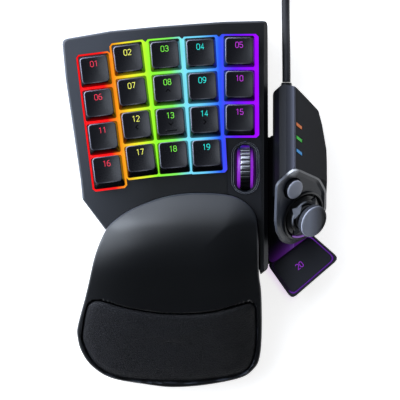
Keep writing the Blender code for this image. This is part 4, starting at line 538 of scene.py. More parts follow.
def lathed(profile, steps, matrix, closed=True):
    """A round part in its place, from (radius, height) points; a closed one is a ring."""
    spokes = [(math.cos(math.tau * k / steps), math.sin(math.tau * k / steps)) for k in range(steps)]
    rings = [[(r * c, r * s, z) for c, s in spokes] for r, z in profile]
    return moved(skin(rings, closed), matrix)
def rounded_ring(width, depth, radius, z, x=0.0, y=0.0, corner=5, side=5):
    """A rounded rectangle at one height, with points along its sides too."""
    a, b, quarter = width / 2 - radius, depth / 2 - radius, math.pi / 2
    centres = ((a, b), (-a, b), (-a, -b), (a, -b))

    def at(q, turn):
        middle = centres[q % 4]
        return middle[0] + radius * math.cos(turn), middle[1] + radius * math.sin(turn)

    ring = []
    for q in range(4):
        arc = [at(q, quarter * (q + i / corner)) for i in range(corner + 1)]
        line = list(zip(arc[-1], at(q + 1, quarter * (q + 1))))
        straight = [[p + (far - p) * i / side for p, far in line] for i in range(1, side)]
        ring += [(px + x, py + y, z) for px, py in arc + straight]
    return ring
def finished(name, look):
    """Give a CAD node a finish."""
    node = nodes[name]
    node.data.materials.clear()
    node.data.materials.append(look.material)


# %% [markdown]
# ## Copies in a ring
# Ribs, knurls and arrow heads repeat. One Geometry Nodes tree makes all of them: it puts a number of
# copies of a shape on one spot, each turned one step further than the last. The result is baked to a
# plain mesh, and then moved to its place.

# %% Geometry Nodes: copies


def copies_tree():
    """A tree that turns copies, and the identifiers of its inputs Count, Turn and Finish."""
    tree = bpy.data.node_groups.new("copies", "GeometryNodeTree")
    face = tree.interface
    face.new_socket("Shape", in_out="INPUT", socket_type="NodeSocketGeometry")
    sockets = {
        label: face.new_socket(label, in_out="INPUT", socket_type=f"NodeSocket{kind}").identifier
        for label, kind in (("Count", "Int"), ("Turn", "Vector"), ("Finish", "Material"))
    }
    face.new_socket("Copies", in_out="OUTPUT", socket_type="NodeSocketGeometry")
    given, result, number, turn, spots, copies, real, painted = (
        tree.nodes.new(kind)
        for kind in (
            "NodeGroupInput", "NodeGroupOutput", "GeometryNodeInputIndex", "ShaderNodeVectorMath",
            "GeometryNodePoints", "GeometryNodeInstanceOnPoints", "GeometryNodeRealizeInstances",
            "GeometryNodeSetMaterial",
        )
    )
    turn.operation = "SCALE"
    for start, end in (
        (given.outputs["Turn"], turn.inputs[0]), (number.outputs[0], turn.inputs["Scale"]),
        (given.outputs["Count"], spots.inputs["Count"]), (spots.outputs[0], copies.inputs["Points"]),
        (given.outputs["Shape"], copies.inputs["Instance"]), (turn.outputs[0], copies.inputs["Rotation"]),
        (copies.outputs[0], real.inputs[0]), (real.outputs[0], painted.inputs["Geometry"]),
        (given.outputs["Finish"], painted.inputs["Material"]), (painted.outputs[0], result.inputs[0]),
    ):
        tree.links.new(start, end)
    return tree, sockets


COPIES, COPIES_SOCKETS = copies_tree()


def copied(name, part, look, count, axis, matrix):
    """A plain mesh of copies in a ring round an axis, in its place."""
    shape = shown(name, mesh_of(name, [part]))
    ring = shape.modifiers.new("copies", "NODES")
    ring.node_group = COPIES
    values = (count, [math.tau / count if k == axis else 0.0 for k in range(3)], look.material)
    for label, value in zip(("Count", "Turn", "Finish"), values):
        ring[COPIES_SOCKETS[label]] = value
    bpy.context.view_layer.update()
    seen = shape.evaluated_get(bpy.context.evaluated_depsgraph_get())
    mesh = bpy.data.meshes.new_from_object(seen)
    bpy.data.objects.remove(shape)
    place = matrix.copy()
    place.translation = place.translation * MM
    mesh.transform(place)
    mesh.name = name
    return mesh
# %% [markdown]
# ## Joining finished meshes
# A wheel and its ribs, or a stick and its knurls, are one moulding. Their meshes are joined into
# one before it becomes a piece, and each part keeps its own finish.

# %% Joining


def together(name, *meshes):
    """One mesh from several, each with its own materials."""
    made = bmesh.new()
    looks = []
    for mesh in meshes:
        before = len(made.faces)
        made.from_mesh(mesh)
        made.faces.ensure_lookup_table()
        for face in made.faces[before:]:
            face.material_index += len(looks)
        looks += list(mesh.materials)
    joined = bpy.data.meshes.new(name)
    made.to_mesh(joined)
    made.free()
    for look in looks:
        joined.materials.append(look)
    joined.set_sharp_from_angle(angle=SHARP)
    return joined


# %% [markdown]
# ## The cord
# The keypad has a rubber cord of 4.6 mm. It leaves the rear of the thumb module through a tapered
# gland, droops to the desk and runs straight back. The rest of its 2.2 m is wound up behind the
# keypad, outside the picture, with a strap round it and the plug on top. A cord is one tube, so it
# is a curve with a round bevel. The route repeats the solid's route.

# %% Cord route
CORD = 4.6
COIL_IN, COIL_OUT, COIL_PITCH = 19.5, 35.1, 5.2
COIL_TURNS, LAYER_TURNS, TURN_STEPS, LAST_TURN, TOP_LIFT = 12, 3, 24, 0.29, 6.8
EXIT, GLAND_LENGTH = Vector((47.8125, 63.446, 21.0)), 4.6
COIL_CENTRE = Vector((EXIT.x - COIL_OUT, 166.5, 0))


def between(a, b, c, d, t):
    """A smooth value part of the way from b to c."""
    bend = (2 * a - 5 * b + 4 * c - d) * t ** 2 + (3 * b - a - 3 * c + d) * t ** 3
    return (2 * b + (c - a) * t + bend) / 2


def eased(share):
    share = max(0.0, min(1.0, share))
    return share * share * (3 - 2 * share)


def round_coil(radius, turn, height):
    """A point of the coil, a number of turns from its start."""
    return Vector((radius * math.cos(math.tau * turn), radius * math.sin(math.tau * turn), height))


def coil_route():
    """Three turns a layer, in, out, in and out again, then over the top to the plug."""
    low = 1.1 + CORD / 2
    points = [COIL_CENTRE + Vector((COIL_OUT, -CORD, low))]
    for k in range(COIL_TURNS * TURN_STEPS + 1):
        turn = k / TURN_STEPS
        layer = min(int(turn // LAYER_TURNS), COIL_TURNS // LAYER_TURNS - 1)
        inwards = turn - layer * LAYER_TURNS
        share = LAYER_TURNS - inwards if layer % 2 else inwards
        climb = sum(COIL_PITCH * eased((turn - step * LAYER_TURNS + 0.25) * 2) for step in (1, 2, 3))
        climb += TOP_LIFT * eased((turn - COIL_TURNS) / 0.15 + 1)
        points.append(COIL_CENTRE + round_coil(COIL_OUT - COIL_PITCH * share, turn, low + climb))
    start = points[-1] - Vector((COIL_IN, 0, 0))
    points += [start + round_coil(COIL_IN, LAST_TURN * k / 12, 0) for k in range(1, 13)]
    heading = round_coil(1, LAST_TURN + 0.25, 0)
    return points + [points[-1] + heading * CORD * 1.5]


def cord_route():
    """From the gland down to the desk, straight back, then the coil."""
    start = EXIT + Vector((0, GLAND_LENGTH + 0.3, 0))
    coil = coil_route()
    straight = Vector((0, CORD, 0))
    first, last = start + straight, coil[0] - straight
    floor = CORD / 2 + 0.1
    via = [first]
    for along, drop in ((0.18, 0.7), (0.36, 0.26), (0.52, 0.05), (0.68, 0), (0.84, 0)):
        via.append(Vector((first.x, first.y + along * (last.y - first.y), floor + drop * (first.z - floor))))
    via.append(last)
    ends = [2 * via[0] - via[1]] + via + [2 * via[-1] - via[-2]]
    line = [start]
    for a, b, c, d in zip(ends, ends[1:], ends[2:], ends[3:]):
        line += [between(a, b, c, d, k / 4) for k in range(4)]
    return line + [last] + coil


ROUTE = cord_route()
cord_length = sum((b - a).length for a, b in zip(ROUTE, ROUTE[1:])) * MM
print("cord", round(cord_length, 3), "m, points", len(ROUTE))

# %% [markdown]
# The jacket is matt black rubber. The gland is softer rubber with grooves, so that it bends. The
# strap is rubber too, and the plug is a rubber grip on a stamped steel shell with two latch windows.

# %% Cord, gland, strap and plug
cord_jacket = moulded("cord_jacket", "cord_jacket", (30, 30, 36), 0.6, 2300, 0.02)


def cord_piece():
    """The whole cord as one bevelled curve."""
    data = bpy.data.curves.new("cord", "CURVE")
    data.dimensions = "3D"
    data.bevel_depth = CORD / 2 * MM
    data.bevel_resolution = 5
    data.use_fill_caps = True
    run = data.splines.new("POLY")
    run.points.add(len(ROUTE) - 1)
    for spot, point in zip(run.points, ROUTE):
        spot.co = (*(point * MM), 1)
    data.materials.append(cord_jacket.material)
    item = shown("cord", data)
    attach(item, "housing")
    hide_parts("cord_run", "cord_coil")
    return item


def gland_part():
    """Flange inside the wall, then a neck that tapers in steps."""
    profile = [(4.2, -3.4), (4.2, -2.3), (3.3, -2.3), (3.3, 1.9)]
    for k in range(4):
        low, wide = 2.0 + 0.62 * k, 3.3 - 0.11 * k
        profile += [(wide, low), (wide, low + 0.36), (wide - 0.34, low + 0.42), (wide - 0.34, low + 0.56)]
    profile += [(2.85, 4.5), (2.5, 4.6)]
    along = Matrix.Translation(EXIT) @ Matrix.Rotation(-math.pi / 2, 4, "X")
    return lathed(profile, 40, along, closed=False)


def strap_part():
    """A band round the bundle, on its left side."""
    x, z, width, height, edge = 27.1, 11.2, 16.0, 20.8, 2.8

    def ring(grow, y):
        loop = rounded_ring(width + 2 * grow, height + 2 * grow, 2.3 + grow, 0, x, z, 4, 6)
        return [(a, y, b) for a, b, _ in loop]

    outer = [(0.1, -3), (0.65, -3), (0.8, -edge), (0.8, edge), (0.65, 3), (0.1, 3)]
    rings = [ring(*at) for at in outer + [(0, edge), (0, -edge)]]
    side = Matrix.Translation(COIL_CENTRE) @ Matrix.Rotation(math.pi, 4, "Z")
    return moved(skin(rings, closed=True), side)


def plug_part(sections):
    """A skin along the plug, through rows of place, width, height, corner radius and drop."""
    rings = []
    for x, width, height, radius, drop in sections:
        loop = rounded_ring(width, height, radius, 0, corner=5, side=3)
        rings.append([(x, a, b + drop) for a, b, _ in loop])
    return skin(rings)


heading = (ROUTE[-1] - ROUTE[-2]).normalized()
AT_END = Matrix.Translation(ROUTE[-1] + heading * 0.3)
PLUG = AT_END @ Matrix.Rotation(math.atan2(heading.y, heading.x), 4, "Z")


def grip_part():
    """A waisted grip with grooves across it."""
    ridge, groove = (13.5, 7.8, 2.0, 0), (12.7, 7.1, 1.8, 0)
    rows = [(0, 5.2, 5.2, 2.5, 0), (1.2, 6.6, 5.8, 2.6, 0), (3.4, 11.6, 7.1, 2.4, 0)]
    rows += [(5.6, 13.2, 7.7, 2.2, 0), (7.2, *ridge)]
    for x in (9.0, 10.8, 12.6, 14.4, 16.2):
        rows += [(x, *ridge), (x + 0.25, *groove), (x + 0.9, *groove), (x + 1.15, *ridge)]
    return moved(plug_part(rows + [(23.4, *ridge), (24.0, 12.6, 7.0, 1.8, 0)]), PLUG)


def shell_mesh():
    """The folded steel shell, open at the front, with a tongue in it and windows on top."""
    low, high = 24.3, 41.8
    wall, tip, mouth = (12, 4.5, 0.6, 0), (11.7, 4.2, 0.5, 0), (11.2, 3.7, 0.4, 0)
    tongue = (10.6, 1.4, 0.2, -0.8)
    shell = [(low, *wall), (high - 0.3, *wall), (high, *tip), (high - 0.1, *mouth), (low + 1.2, *mouth)]
    pane = skin([rounded_ring(2.2, 2.4, 0.3, z) for z in (2.2, 2.27)])
    parts = [plug_part(shell), plug_part([(low + 1.3, *tongue), (high - 0.6, *tongue)])]
    parts += [moved(pane, Matrix.Translation((36.4, y, 0))) for y in (-3.0, 3.0)]
    looks = (bright_steel, gloss_paint, gloss_paint)
    return mesh_of("plug_shell_skin", [moved(part, PLUG) for part in parts], looks)


cord = cord_piece()
gland = shaped("cord_gland", [gland_part()], grip_rubber, "housing", "strain_relief")
strap = shaped("cord_strap", [strap_part()], foot_rubber, "housing", "cord_tie")
grip = shaped("plug_grip_skin", [grip_part()], grip_rubber, "housing", "plug_grip")
shell = piece("plug_shell_skin", shell_mesh(), bright_steel, "housing", "plug_shell")
print("cord and its four pieces")

# %% [markdown]
# ## Solids that keep their shape
# Many solids from the frame are right as they are: the two housings, the panel beside the wheel,
# the control plate and all that is inside. They only need their finishes.

# %% Finishes of the solids
for look, names in (
    (housing_paint, ("top_housing",)), (module_paint, ("thumb_housing",)), (panel_paint, ("wheel_panel",)),
    (tray_plastic, ("bottom_housing", "palm_base", "wheel_cradle", "stick_gimbal")),
    (plate_paint, ("control_plate",)), (light_guide, ("light_plate",)), (key_20_glow, ("key_20_light",)),
    (dome_silicone, ("dome_sheet",)), (board_lacquer, ("circuit_board", "thumb_board")),
    (bright_steel, ("thumb_key_pin", "wheel_axle")),
    (screw_steel, ("screw_rear_left", "screw_front_left", "screw_centre", "screw_thumb")),
    (foot_rubber, ("foot_rear_left", "foot_rear_right", "foot_thumb", "foot_palm")),
    *((glow, (f"indicator_{k + 1}",)) for k, glow in enumerate(INDICATOR_GLOWS)),
):
    for name in names:
        finished(name, look)
print("solids finished")

# %% [markdown]
# ## Key caps
# A cap is a hollow moulding: a skirt that leans in, a rounded top edge and a dished top that holds
# the fingertip. Its rows differ only in how far the top leans to the rear. The cap is a skin through
# rounded rectangles: under the roof, down the inside, round the foot, up the skirt and over the top.
# Every point also carries a number, edge. It is near 1 on the rounded rim at the left and rear, and
# below 0 on the skirt. The finish has a painted highlight on the rim, where the lamps at the left and
# rear catch it, and painted shade, near black, on the skirt.

# %% Cap finish
CAP_COLOR = (19, 19, 23)
cap_plastic = moulded(
    "cap_plastic", "key_plastic", CAP_COLOR, 0.28, 3400, 0.006, 0.10, specular_IOR_level=0.5,
)
edge = cap_plastic.node("ShaderNodeAttribute", {"attribute_name": "edge"}, out=2)
# Painted highlight on the rims at the left and rear.
cap_plastic.tint(edge.clipped(), shade(paint(*CAP_COLOR), 50))
# Painted shade on the skirts, near black.
cap_plastic.tint((edge * -1.0).clipped(), shade(paint(*CAP_COLOR), 0.2))
CAP_SIZE = {"base": (17.2, 17.5), "top": (15.2, 14.4), "height": 6.6, "dish": 1.0, "edge": 0.45, "wall": 1.2}


# %% Cap shape
def dished(x, y):
    """How deep the top is over a point of it: 1 in the middle, 0 at the left and right sides."""
    wide, deep = CAP_SIZE["top"]
    across = max(0.0, 1 - (2 * x / wide) ** 2)
    return across * (1 - 0.4 * min(1.0, (2 * y / deep) ** 2))


def cap_skin(shift):
    """The rings of a cap whose top leans back by shift mm, and each point's edge number for painted light."""
    base, top, height, edge = CAP_SIZE["base"], CAP_SIZE["top"], CAP_SIZE["height"], CAP_SIZE["edge"]
    rings, rims = [], []

    def add(width, depth, radius, z, dip=0.0, rim=0.0):
        lean = shift * z / height
        loop = rounded_ring(width, depth, radius, z)
        rings.append([(x, y + lean, z - dip * CAP_SIZE["dish"] * dished(x, y)) for x, y, z in loop])
        # The painted highlight is strongest where the rim faces left and rear, towards the lamps.
        reach = [max(0.0, (0.66 * y / base[1] - 0.75 * x / base[0]) * 2) for x, y, _ in loop]
        rims.append([rim * (0.08 + 0.92 * min(1.0, share * 1.3)) if rim > 0 else rim for share in reach])

    hollow = [size - 2 * CAP_SIZE["wall"] for size in base]
    add(hollow[0] - 3.4, hollow[1] - 3.6, 0.9, height - 2.2)
    add(*hollow, 0.6, 0)
    add(base[0] - 0.3, base[1] - 0.3, 1.1, 0)
    for t in (0.03, 0.3, 0.65, 1):
        width, depth = (b + (a - b) * t for a, b in zip(top, base))
        add(width, depth, 1.2 + 0.7 * t, 0.15 + (height - edge - 0.15) * t, 0, -0.9)
    for turn in (20, 42, 64, 90):
        pull, rise = edge * (1 - math.cos(math.radians(turn))), edge * math.sin(math.radians(turn))
        rim = 1.0 if turn < 70 else 0.35
        add(top[0] - 2 * pull, top[1] - 2 * pull, 1.9 - pull * 0.6, height - edge + rise, rise / edge, rim)
    for share in (0.97, 0.9, 0.8, 0.66, 0.5, 0.34, 0.18):
        add((top[0] - 2 * edge) * share, (top[1] - 2 * edge) * share, 1.5 * share, height, 1)
    return rings, rims


def cap_mesh(name, shift, matrix):
    """A cap with its stem, in place, with the edge attribute of its painted highlight and shade."""
    rings, rims = cap_skin(shift)
    stem = skin([rounded_ring(5.8, 5.8, 0.5, z, corner=3, side=2) for z in (-10.9, -10.5, 4.0)])
    mesh = mesh_of(name, [moved(skin(rings), matrix), moved(stem, matrix)], (cap_plastic, cap_plastic))
    values = [rim for ring in rims for rim in ring] + [0.0] * len(stem[0])
    mesh.attributes.new("edge", "FLOAT", "POINT").data.foreach_set("value", values)
    return mesh


# %% Caps in place
SHIFTS = (0.2, 0.65, 1.1, 1.55)
LEANS = (7.2, 7.2, 4.8, 3.4, 0.4)
STARTS = ((-2.048, -0.441), (-1.074, -0.106), (0, 0), (1.037, 0.059), (2.160, 0.112))
FIRST_KEY, PITCH, CAP_LOW = (-19.4, 82.3), 18.8, 38.9


def key_place(column, row):
    """Where a key stands: its columns lean like the fingers of a hand."""
    lean, down = math.radians(LEANS[column]), row * PITCH
    x, y = (first + start * PITCH for first, start in zip(FIRST_KEY, STARTS[column]))
    at = (x + math.sin(lean) * down, y - math.cos(lean) * down, CAP_LOW)
    return Matrix.Translation(at) @ Matrix.Rotation(lean, 4, "Z")


KEYS = [(row * 5 + column + 1, column, row) for row in range(4) for column in range(5 if row < 3 else 4)]
for number, column, row in KEYS:
    cap, body = f"cap_{number:02d}", f"key_{number:02d}"
    mesh = cap_mesh(cap, SHIFTS[row], key_place(column, row))
    piece(cap, mesh, cap_plastic, body, body)
print(len(KEYS), "caps,", len(mesh.polygons), "faces each")

# %% [markdown]
# ## Numbers and arrows
# The numbers let the light of the plate shine through, in the colour of their column. A digit is
# drawn with thin strokes between the corners of a box, and each stroke is a ribbon as thin as a
# layer of paint, laid on the dish of its cap. The four direction keys also carry a dark arrow, and
# the key under the middle finger has a small raised bar that the finger finds without looking.

# %% Strokes of the digits
CUT, SIDE = 0.28, 0.16
HEAD = ((0, 1 - SIDE), (CUT, 1), (1 - CUT, 1), (1, 1 - SIDE))
FOOT = ((1, SIDE), (1 - CUT, 0), (CUT, 0), (0, SIDE))
STROKES = {
    "0": [FOOT[2::-1] + HEAD[::-1] + FOOT[:1:-1]],
    "1": [((0.2, 0.84), (0.62, 1), (0.62, 0))],
    "2": [HEAD + ((1, 0.64), (0, 0), (1, 0))],
    "3": [HEAD + ((1, 0.63), (0.76, 0.52), (1, 0.4)) + FOOT, ((0.34, 0.52), (0.76, 0.52))],
    "4": [((0.72, 0), (0.72, 1), (0, 0.28), (1, 0.28))],
    "5": [((0.94, 1), (0.08, 1), (0.02, 0.56), (0.74, 0.58), (1, 0.42)) + FOOT],
    "6": [((0.9, 1), (0.4, 0.98), (0, 0.66)) + FOOT[::-1] + ((1, 0.42), (0.76, 0.57), (0.04, 0.57))],
    "7": [((0, 1), (1, 1), (0.36, 0))],
    "8": [
        (
            (0.22, 0.53), (0.78, 0.53), (0.95, 0.68), (0.95, 0.87), (0.74, 1), (0.26, 1), (0.05, 0.87),
            (0.05, 0.68), (0.22, 0.53),
        ),
        ((0.22, 0.53), (0, 0.38)) + FOOT[::-1] + ((1, 0.38), (0.78, 0.53)),
    ],
}
STROKES["9"] = [tuple((1 - x, 1 - y) for x, y in STROKES["6"][0])]
PRINT, DIGIT_WIDE, DIGIT_HIGH, DIGIT_GAP, STROKE_WIDE = 0.03, 1.65, 3.0, 0.62, 0.29
ARROW_SIZE, ARROW_WIDE = 1.25, 0.5

# %% Digits and arrow heads


def stroke_part(line):
    """A flat ribbon along a line in mm, with mitred corners."""
    line = [Vector(p) for p in line]
    looped = (line[0] - line[-1]).length < 0.001
    if looped:
        line = line[:-1]
    left, right = [], []
    for k, here in enumerate(line):
        before = line[k - 1] if k or looped else here - (line[1] - here)
        after = line[(k + 1) % len(line)] if k < len(line) - 1 or looped else here + (here - before)
        inward, onward = (here - before).normalized(), (after - here).normalized()
        side = Vector((-inward.y - onward.y, inward.x + onward.x)).normalized()
        reach = STROKE_WIDE / 2 / max(0.55, side.dot(Vector((-inward.y, inward.x))))
        left.append(here + side * reach)
        right.append(here - side * reach)
    rings = [[(*a, -PRINT), (*a, PRINT), (*b, PRINT), (*b, -PRINT)] for a, b in zip(left, right)]
    return skin(rings, closed=looped)


def number_parts(words):
    """Plain thin numbers as flat mesh parts in mm, centred."""
    pitch = DIGIT_WIDE + DIGIT_GAP
    start = -(pitch * len(words) - DIGIT_GAP) / 2
    parts = []
    for k, digit in enumerate(words):
        for line in STROKES[digit]:
            points = [(start + pitch * k + x * DIGIT_WIDE, (y - 0.5) * DIGIT_HIGH) for x, y in line]
            parts.append(stroke_part(points))
    return parts


def chevron_part(turn):
    """An arrow head of two strokes, pointing up before it is turned."""
    size, reach = ARROW_SIZE, ARROW_WIDE * math.sqrt(0.5)
    outline = [(-size, -size / 2), (0, size / 2), (size, -size / 2)]
    loop = [(x, y + reach, 0) for x, y in outline] + [(x, y - reach, 0) for x, y in reversed(outline)]
    spun = Matrix.Rotation(math.radians(turn), 4, "Z")
    low, high = [[spun @ Vector((x, y, z)) for x, y, _ in loop] for z in (-PRINT, PRINT)]
    points = [tuple(p) for p in low + high]
    count = len(loop)
    faces = [(k, (k + 1) % count, (k + 1) % count + count, k + count) for k in range(count)]
    for start, flip in ((0, True), (count, False)):
        for quad in ((0, 1, 4, 5), (1, 2, 3, 4)):
            side = tuple(start + k for k in quad)
            faces.append(side[::-1] if flip else side)
    return points, faces


def laid(part, x, y, shift, matrix):
    """A flat part laid on the dish of a cap, its middle at x, y."""
    points, faces = part
    top, dish = CAP_SIZE["height"] + PRINT, CAP_SIZE["dish"]
    on_top = [(px + x, py + y + shift, top + pz - dish * dished(px + x, py + y)) for px, py, pz in points]
    return moved((on_top, faces), matrix)


# %% Legends in place
arrow_print = moulded("arrow_print", "key_plastic", (3, 3, 4), 0.8, 2000, 0.002, specular_IOR_level=0.05)
ARROWS = {8: 0, 12: 90, 13: 180, 14: 270}
for number, column, row in KEYS:
    spot, shift, body = key_place(column, row), SHIFTS[row], f"key_{number:02d}"
    words = [laid(part, 0, 3.2, shift, spot) for part in number_parts(f"{number:02d}")]
    shaped(f"number_{number:02d}", words, LEGEND_GLOWS[column], body)
    if number in ARROWS:
        arrow = laid(chevron_part(ARROWS[number]), 0, -1.4, shift, spot)
        shaped(f"arrow_{number:02d}", [arrow], arrow_print, body)
bar = skin([rounded_ring(w, d, 0.35, z) for w, d, z in ((6.2, 0.9, -0.3), (6.2, 0.9, 0.1), (5.8, 0.5, 0.35))])
shaped("finding_bar", [laid(bar, 0, -4.9, SHIFTS[2], key_place(2, 2))], cap_plastic, "key_13")
print("numbers, four arrows and the bar")

# %% [markdown]
# ## Scroll wheel
# The wheel has a glossy tread of broad ribs with dark grooves between them, and two clear flanges
# that are lit. A turned ring makes the tread's base, and the tree above puts 26 ribs round it. The
# flanges show as two purple lines beside the tread.

# %% Wheel
WHEEL_X, WHEEL_Y, WHEEL_Z, RIBS = 24.67, 20.41, 30.5, 26
WHEEL = Matrix.Translation((WHEEL_X, WHEEL_Y, WHEEL_Z))
SIDEWAYS = WHEEL @ Matrix.Rotation(math.pi / 2, 4, "Y")
tread_rubber = moulded("tread_rubber", "rubber", (168, 170, 178), 0.3, 1800, 0.01, metallic=0.9)
# Painted shade: the ribs are darker towards the front of the wheel.
tread_rubber.tint(tread_rubber.axis(1).rising(22, -8), paint(44, 44, 48))
groove_rubber = moulded("groove_rubber", "rubber", (10, 10, 11), 0.7, 1800, 0.01)


def tread_mesh():
    """A dark tyre with glossy ribs."""
    tyre = ((10.9, -2.65), (11.7, -2.8), (11.95, -2.5), (11.95, 2.5), (11.7, 2.8), (10.9, 2.65))
    crown = ((5.3, 2.3, 11.6), (5.3, 2.3, 12.2), (5.0, 2.0, 12.38), (4.4, 1.2, 12.5))
    rib = skin([rounded_ring(w, d, 0.3, z) for w, d, z in crown])
    base = mesh_of("tread_base", [lathed(tyre, 96, SIDEWAYS)], (groove_rubber,))
    return together("wheel_tread", base, copied("tread_ribs", rib, tread_rubber, RIBS, 0, WHEEL))


tread = tread_mesh()
piece("wheel_tread", tread, tread_rubber, "scroll_wheel", "scroll_tread")
half_rim = [(1.8, -4.3), (10.2, -4.3), (10.9, -4.1), (11.2, -3.8), (11.3, -3.0), (10.5, -2.95)]
rim = half_rim + [(radius, -across) for radius, across in reversed(half_rim)]
shaped("wheel_flanges", [lathed(rim, 72, SIDEWAYS)], wheel_glow, "scroll_wheel", "scroll_rim")
print("wheel:", len(tread.polygons), "faces in the tread")

# %% [markdown]
# The bezel is an oblong ring with two grooves that step down to the slot. Its bright outer line and a
# second line inside are fine raised lines of pale paint, a painted highlight.

# %% Bezel
LINE_WIDE = 0.06


def bezel_ring(share, z):
    """An oblong round the slot: the bezel's outer wall at share 0, and the slot at share 1."""
    width, length = 15.4 - 5.8 * share, 28.8 - 3.4 * share
    return rounded_ring(width, length, width / 2 - 0.01, z, WHEEL_X, WHEEL_Y, corner=10, side=4)


def bezel_mesh():
    """Rings from the outer wall, over the land and grooves, to the mouth."""
    profile = (
        (0, 35.8), (0, 38.3), (0.05, 38.5), (0.17, 38.5), (0.22, 38.35), (0.25, 37.95), (0.32, 37.95),
        (0.37, 38.25), (0.52, 38.2), (0.57, 37.75), (0.64, 37.75), (0.7, 37.95), (0.86, 37.6), (0.97, 37.1),
        (1.0, 36.6), (0.98, 35.8),
    )
    return mesh_of("slot_bezel", [skin([bezel_ring(*at) for at in profile], closed=True)], (bezel_paint,))


def bezel_highlight_line(share, low, high):
    """A fine raised line of pale paint that follows the bezel, a painted highlight."""
    end = share + LINE_WIDE
    places = ((share, low), (share + 0.01, high), (end - 0.01, high), (end, low))
    return skin([bezel_ring(*at) for at in places], closed=True)


# Painted highlight: two raised lines of pale paint on the bezel.
lines = [bezel_highlight_line(0.02, 38.2, 38.62), bezel_highlight_line(0.4, 38.0, 38.45)]
lines = mesh_of("bezel_highlight_lines", lines, (highlight_line_paint, highlight_line_paint))
piece("slot_bezel", together("slot_bezel", bezel_mesh(), lines), bezel_paint, "housing", "wheel_bezel")

# %% [markdown]
# ## Thumb controls
# The control face is tilted by 46 degrees, and the pieces on it share one frame, whose z stands
# square on the face. The direction disc is satin black, with a raised ring and four arrow heads, and
# a smooth black collar lies round its hole. Under it a rubber gaiter closes the hole in the face.
# The stick's cap is grey rubber with a knurled side. Round pieces are turned; pointers and knurls
# are copies in a ring.

# %% Control frame
DISC_AT, FACE_TURN, FACE_TILT = (54.774, -4.877, 36.2), -30, 46
CONTROL = Matrix.Translation(DISC_AT) @ Matrix.Rotation(math.radians(FACE_TURN), 4, "Z")
CONTROL = CONTROL @ Matrix.Rotation(math.radians(FACE_TILT), 4, "Y")

# %% Direction disc


def disc_mesh():
    """The disc with its bore and raised ring, then four ridged arrow heads that point outwards."""
    profile = (
        (3.3, 4.8), (10.2, 1.9), (11.4, 1.7), (12.0, 2.0), (12.0, 2.5), (11.7, 2.9), (10.6, 3.5), (9.9, 3.9),
        (9.5, 5.0), (8.9, 5.2), (7.9, 5.2), (7.5, 5.0), (7.2, 5.9), (6.8, 6.3), (6.2, 6.4), (5.9, 6.1),
        (5.4, 6.1), (3.3, 6.3),
    )
    body = mesh_of("disc_body", [lathed(profile, 120, CONTROL)], (gloss_paint,))
    line = ((9.9, 4.7), (9.55, 5.15), (9.2, 5.3), (9.2, 5.0))
    line = mesh_of("disc_line", [lathed(line, 120, CONTROL)], (disc_highlight_paint,))
    head = (
        [(7.4, -4.4, 4.4), (7.4, 4.4, 4.4), (12.3, 0, 3.3), (7.9, 0, 4.4)],
        [(7.6, -4.2, 5.3), (7.6, 4.2, 5.3), (12.2, 0, 4.3), (7.9, 0, 7.0)],
    )
    points = [point for ring in head for point in ring]
    faces = [(0, 3, 1, 2), (0, 2, 6, 4), (2, 1, 5, 6), (1, 3, 7, 5), (3, 0, 4, 7), (4, 6, 7), (6, 5, 7)]
    heads = copied("disc_arrows", (points, faces), disc_highlight_paint, 4, 2, CONTROL)
    return together("disc_and_pointers", body, line, heads)


piece("disc_and_pointers", disc_mesh(), disc_highlight_paint, "thumb_stick", "direction_disc")
collar = ((13.0, 2.4), (14.1, 2.92), (14.15, 3.15), (13.7, 3.5), (13.2, 3.45))
shaped("disc_collar", [lathed(collar, 120, CONTROL)], gloss_paint, "housing")

# %% Stick, button and painted glow on the disc


def stick_mesh():
    """Shaft and cap, with a soft rim, a low dome and a knurled side."""
    side = ((3.0, -4.8), (3.0, 8.0), (3.6, 8.6), (7.6, 8.6), (8.9, 9.1), (9.0, 9.6), (9.0, 11.4))
    top = (
        (8.6, 11.3), (9.0, 11.5), (8.85, 12.1), (8.3, 12.35), (7.6, 12.4), (7.2, 12.2), (6.9, 12.15),
        (5.2, 12.45), (3.0, 12.62), (0.8, 12.65),
    )
    side = mesh_of("stick_cap", [lathed(side, 96, CONTROL, closed=False)], (dark_rubber,))
    cap = mesh_of("stick_top", [lathed(top, 96, CONTROL, closed=False)], (cap_rubber,))
    knurl = skin([[(8.8, -0.24, z), (9.2, -0.14, z), (9.2, 0.14, z), (8.8, 0.24, z)] for z in (9.5, 11.5)])
    knurls = copied("stick_knurls", knurl, dark_rubber, 48, 2, CONTROL)
    return together("stick_and_cap", side, cap, knurls)


def button_mesh():
    """A round key: a black skirt on its stem, and a softly domed grey top."""
    skirt = ((1.2, -6.0), (1.2, 0.9), (5.4, 0.9), (5.4, 4.1), (5.2, 4.3), (1.2, 4.3))
    top = ((4.9, 4.2), (5.3, 4.25), (5.32, 4.5), (5.1, 4.8), (4.6, 4.98), (3.0, 5.08), (1.0, 5.1))
    at = CONTROL @ Matrix.Translation((-18.2, 9.9, 0))
    parts = [lathed(profile, 72, at, closed=False) for profile in (skirt, top)]
    return mesh_of("round_button", parts, (panel_paint, button_paint))


def arc_part(inner, outer, low, high, first, last):
    """A part of a flat ring on the control face, between two angles in degrees."""
    rings, section = [], ((inner, low), (outer, low), (outer, high), (inner, high))
    for k in range(25):
        angle = math.radians(first + (last - first) * k / 24)
        rings.append([(r * math.cos(angle), r * math.sin(angle), z) for r, z in section])
    return moved(skin(rings), CONTROL)


piece("stick_and_cap", stick_mesh(), cap_rubber, "thumb_stick", "thumb_stick")
piece("round_button", button_mesh(), button_paint, "mode_button", "mode_button")
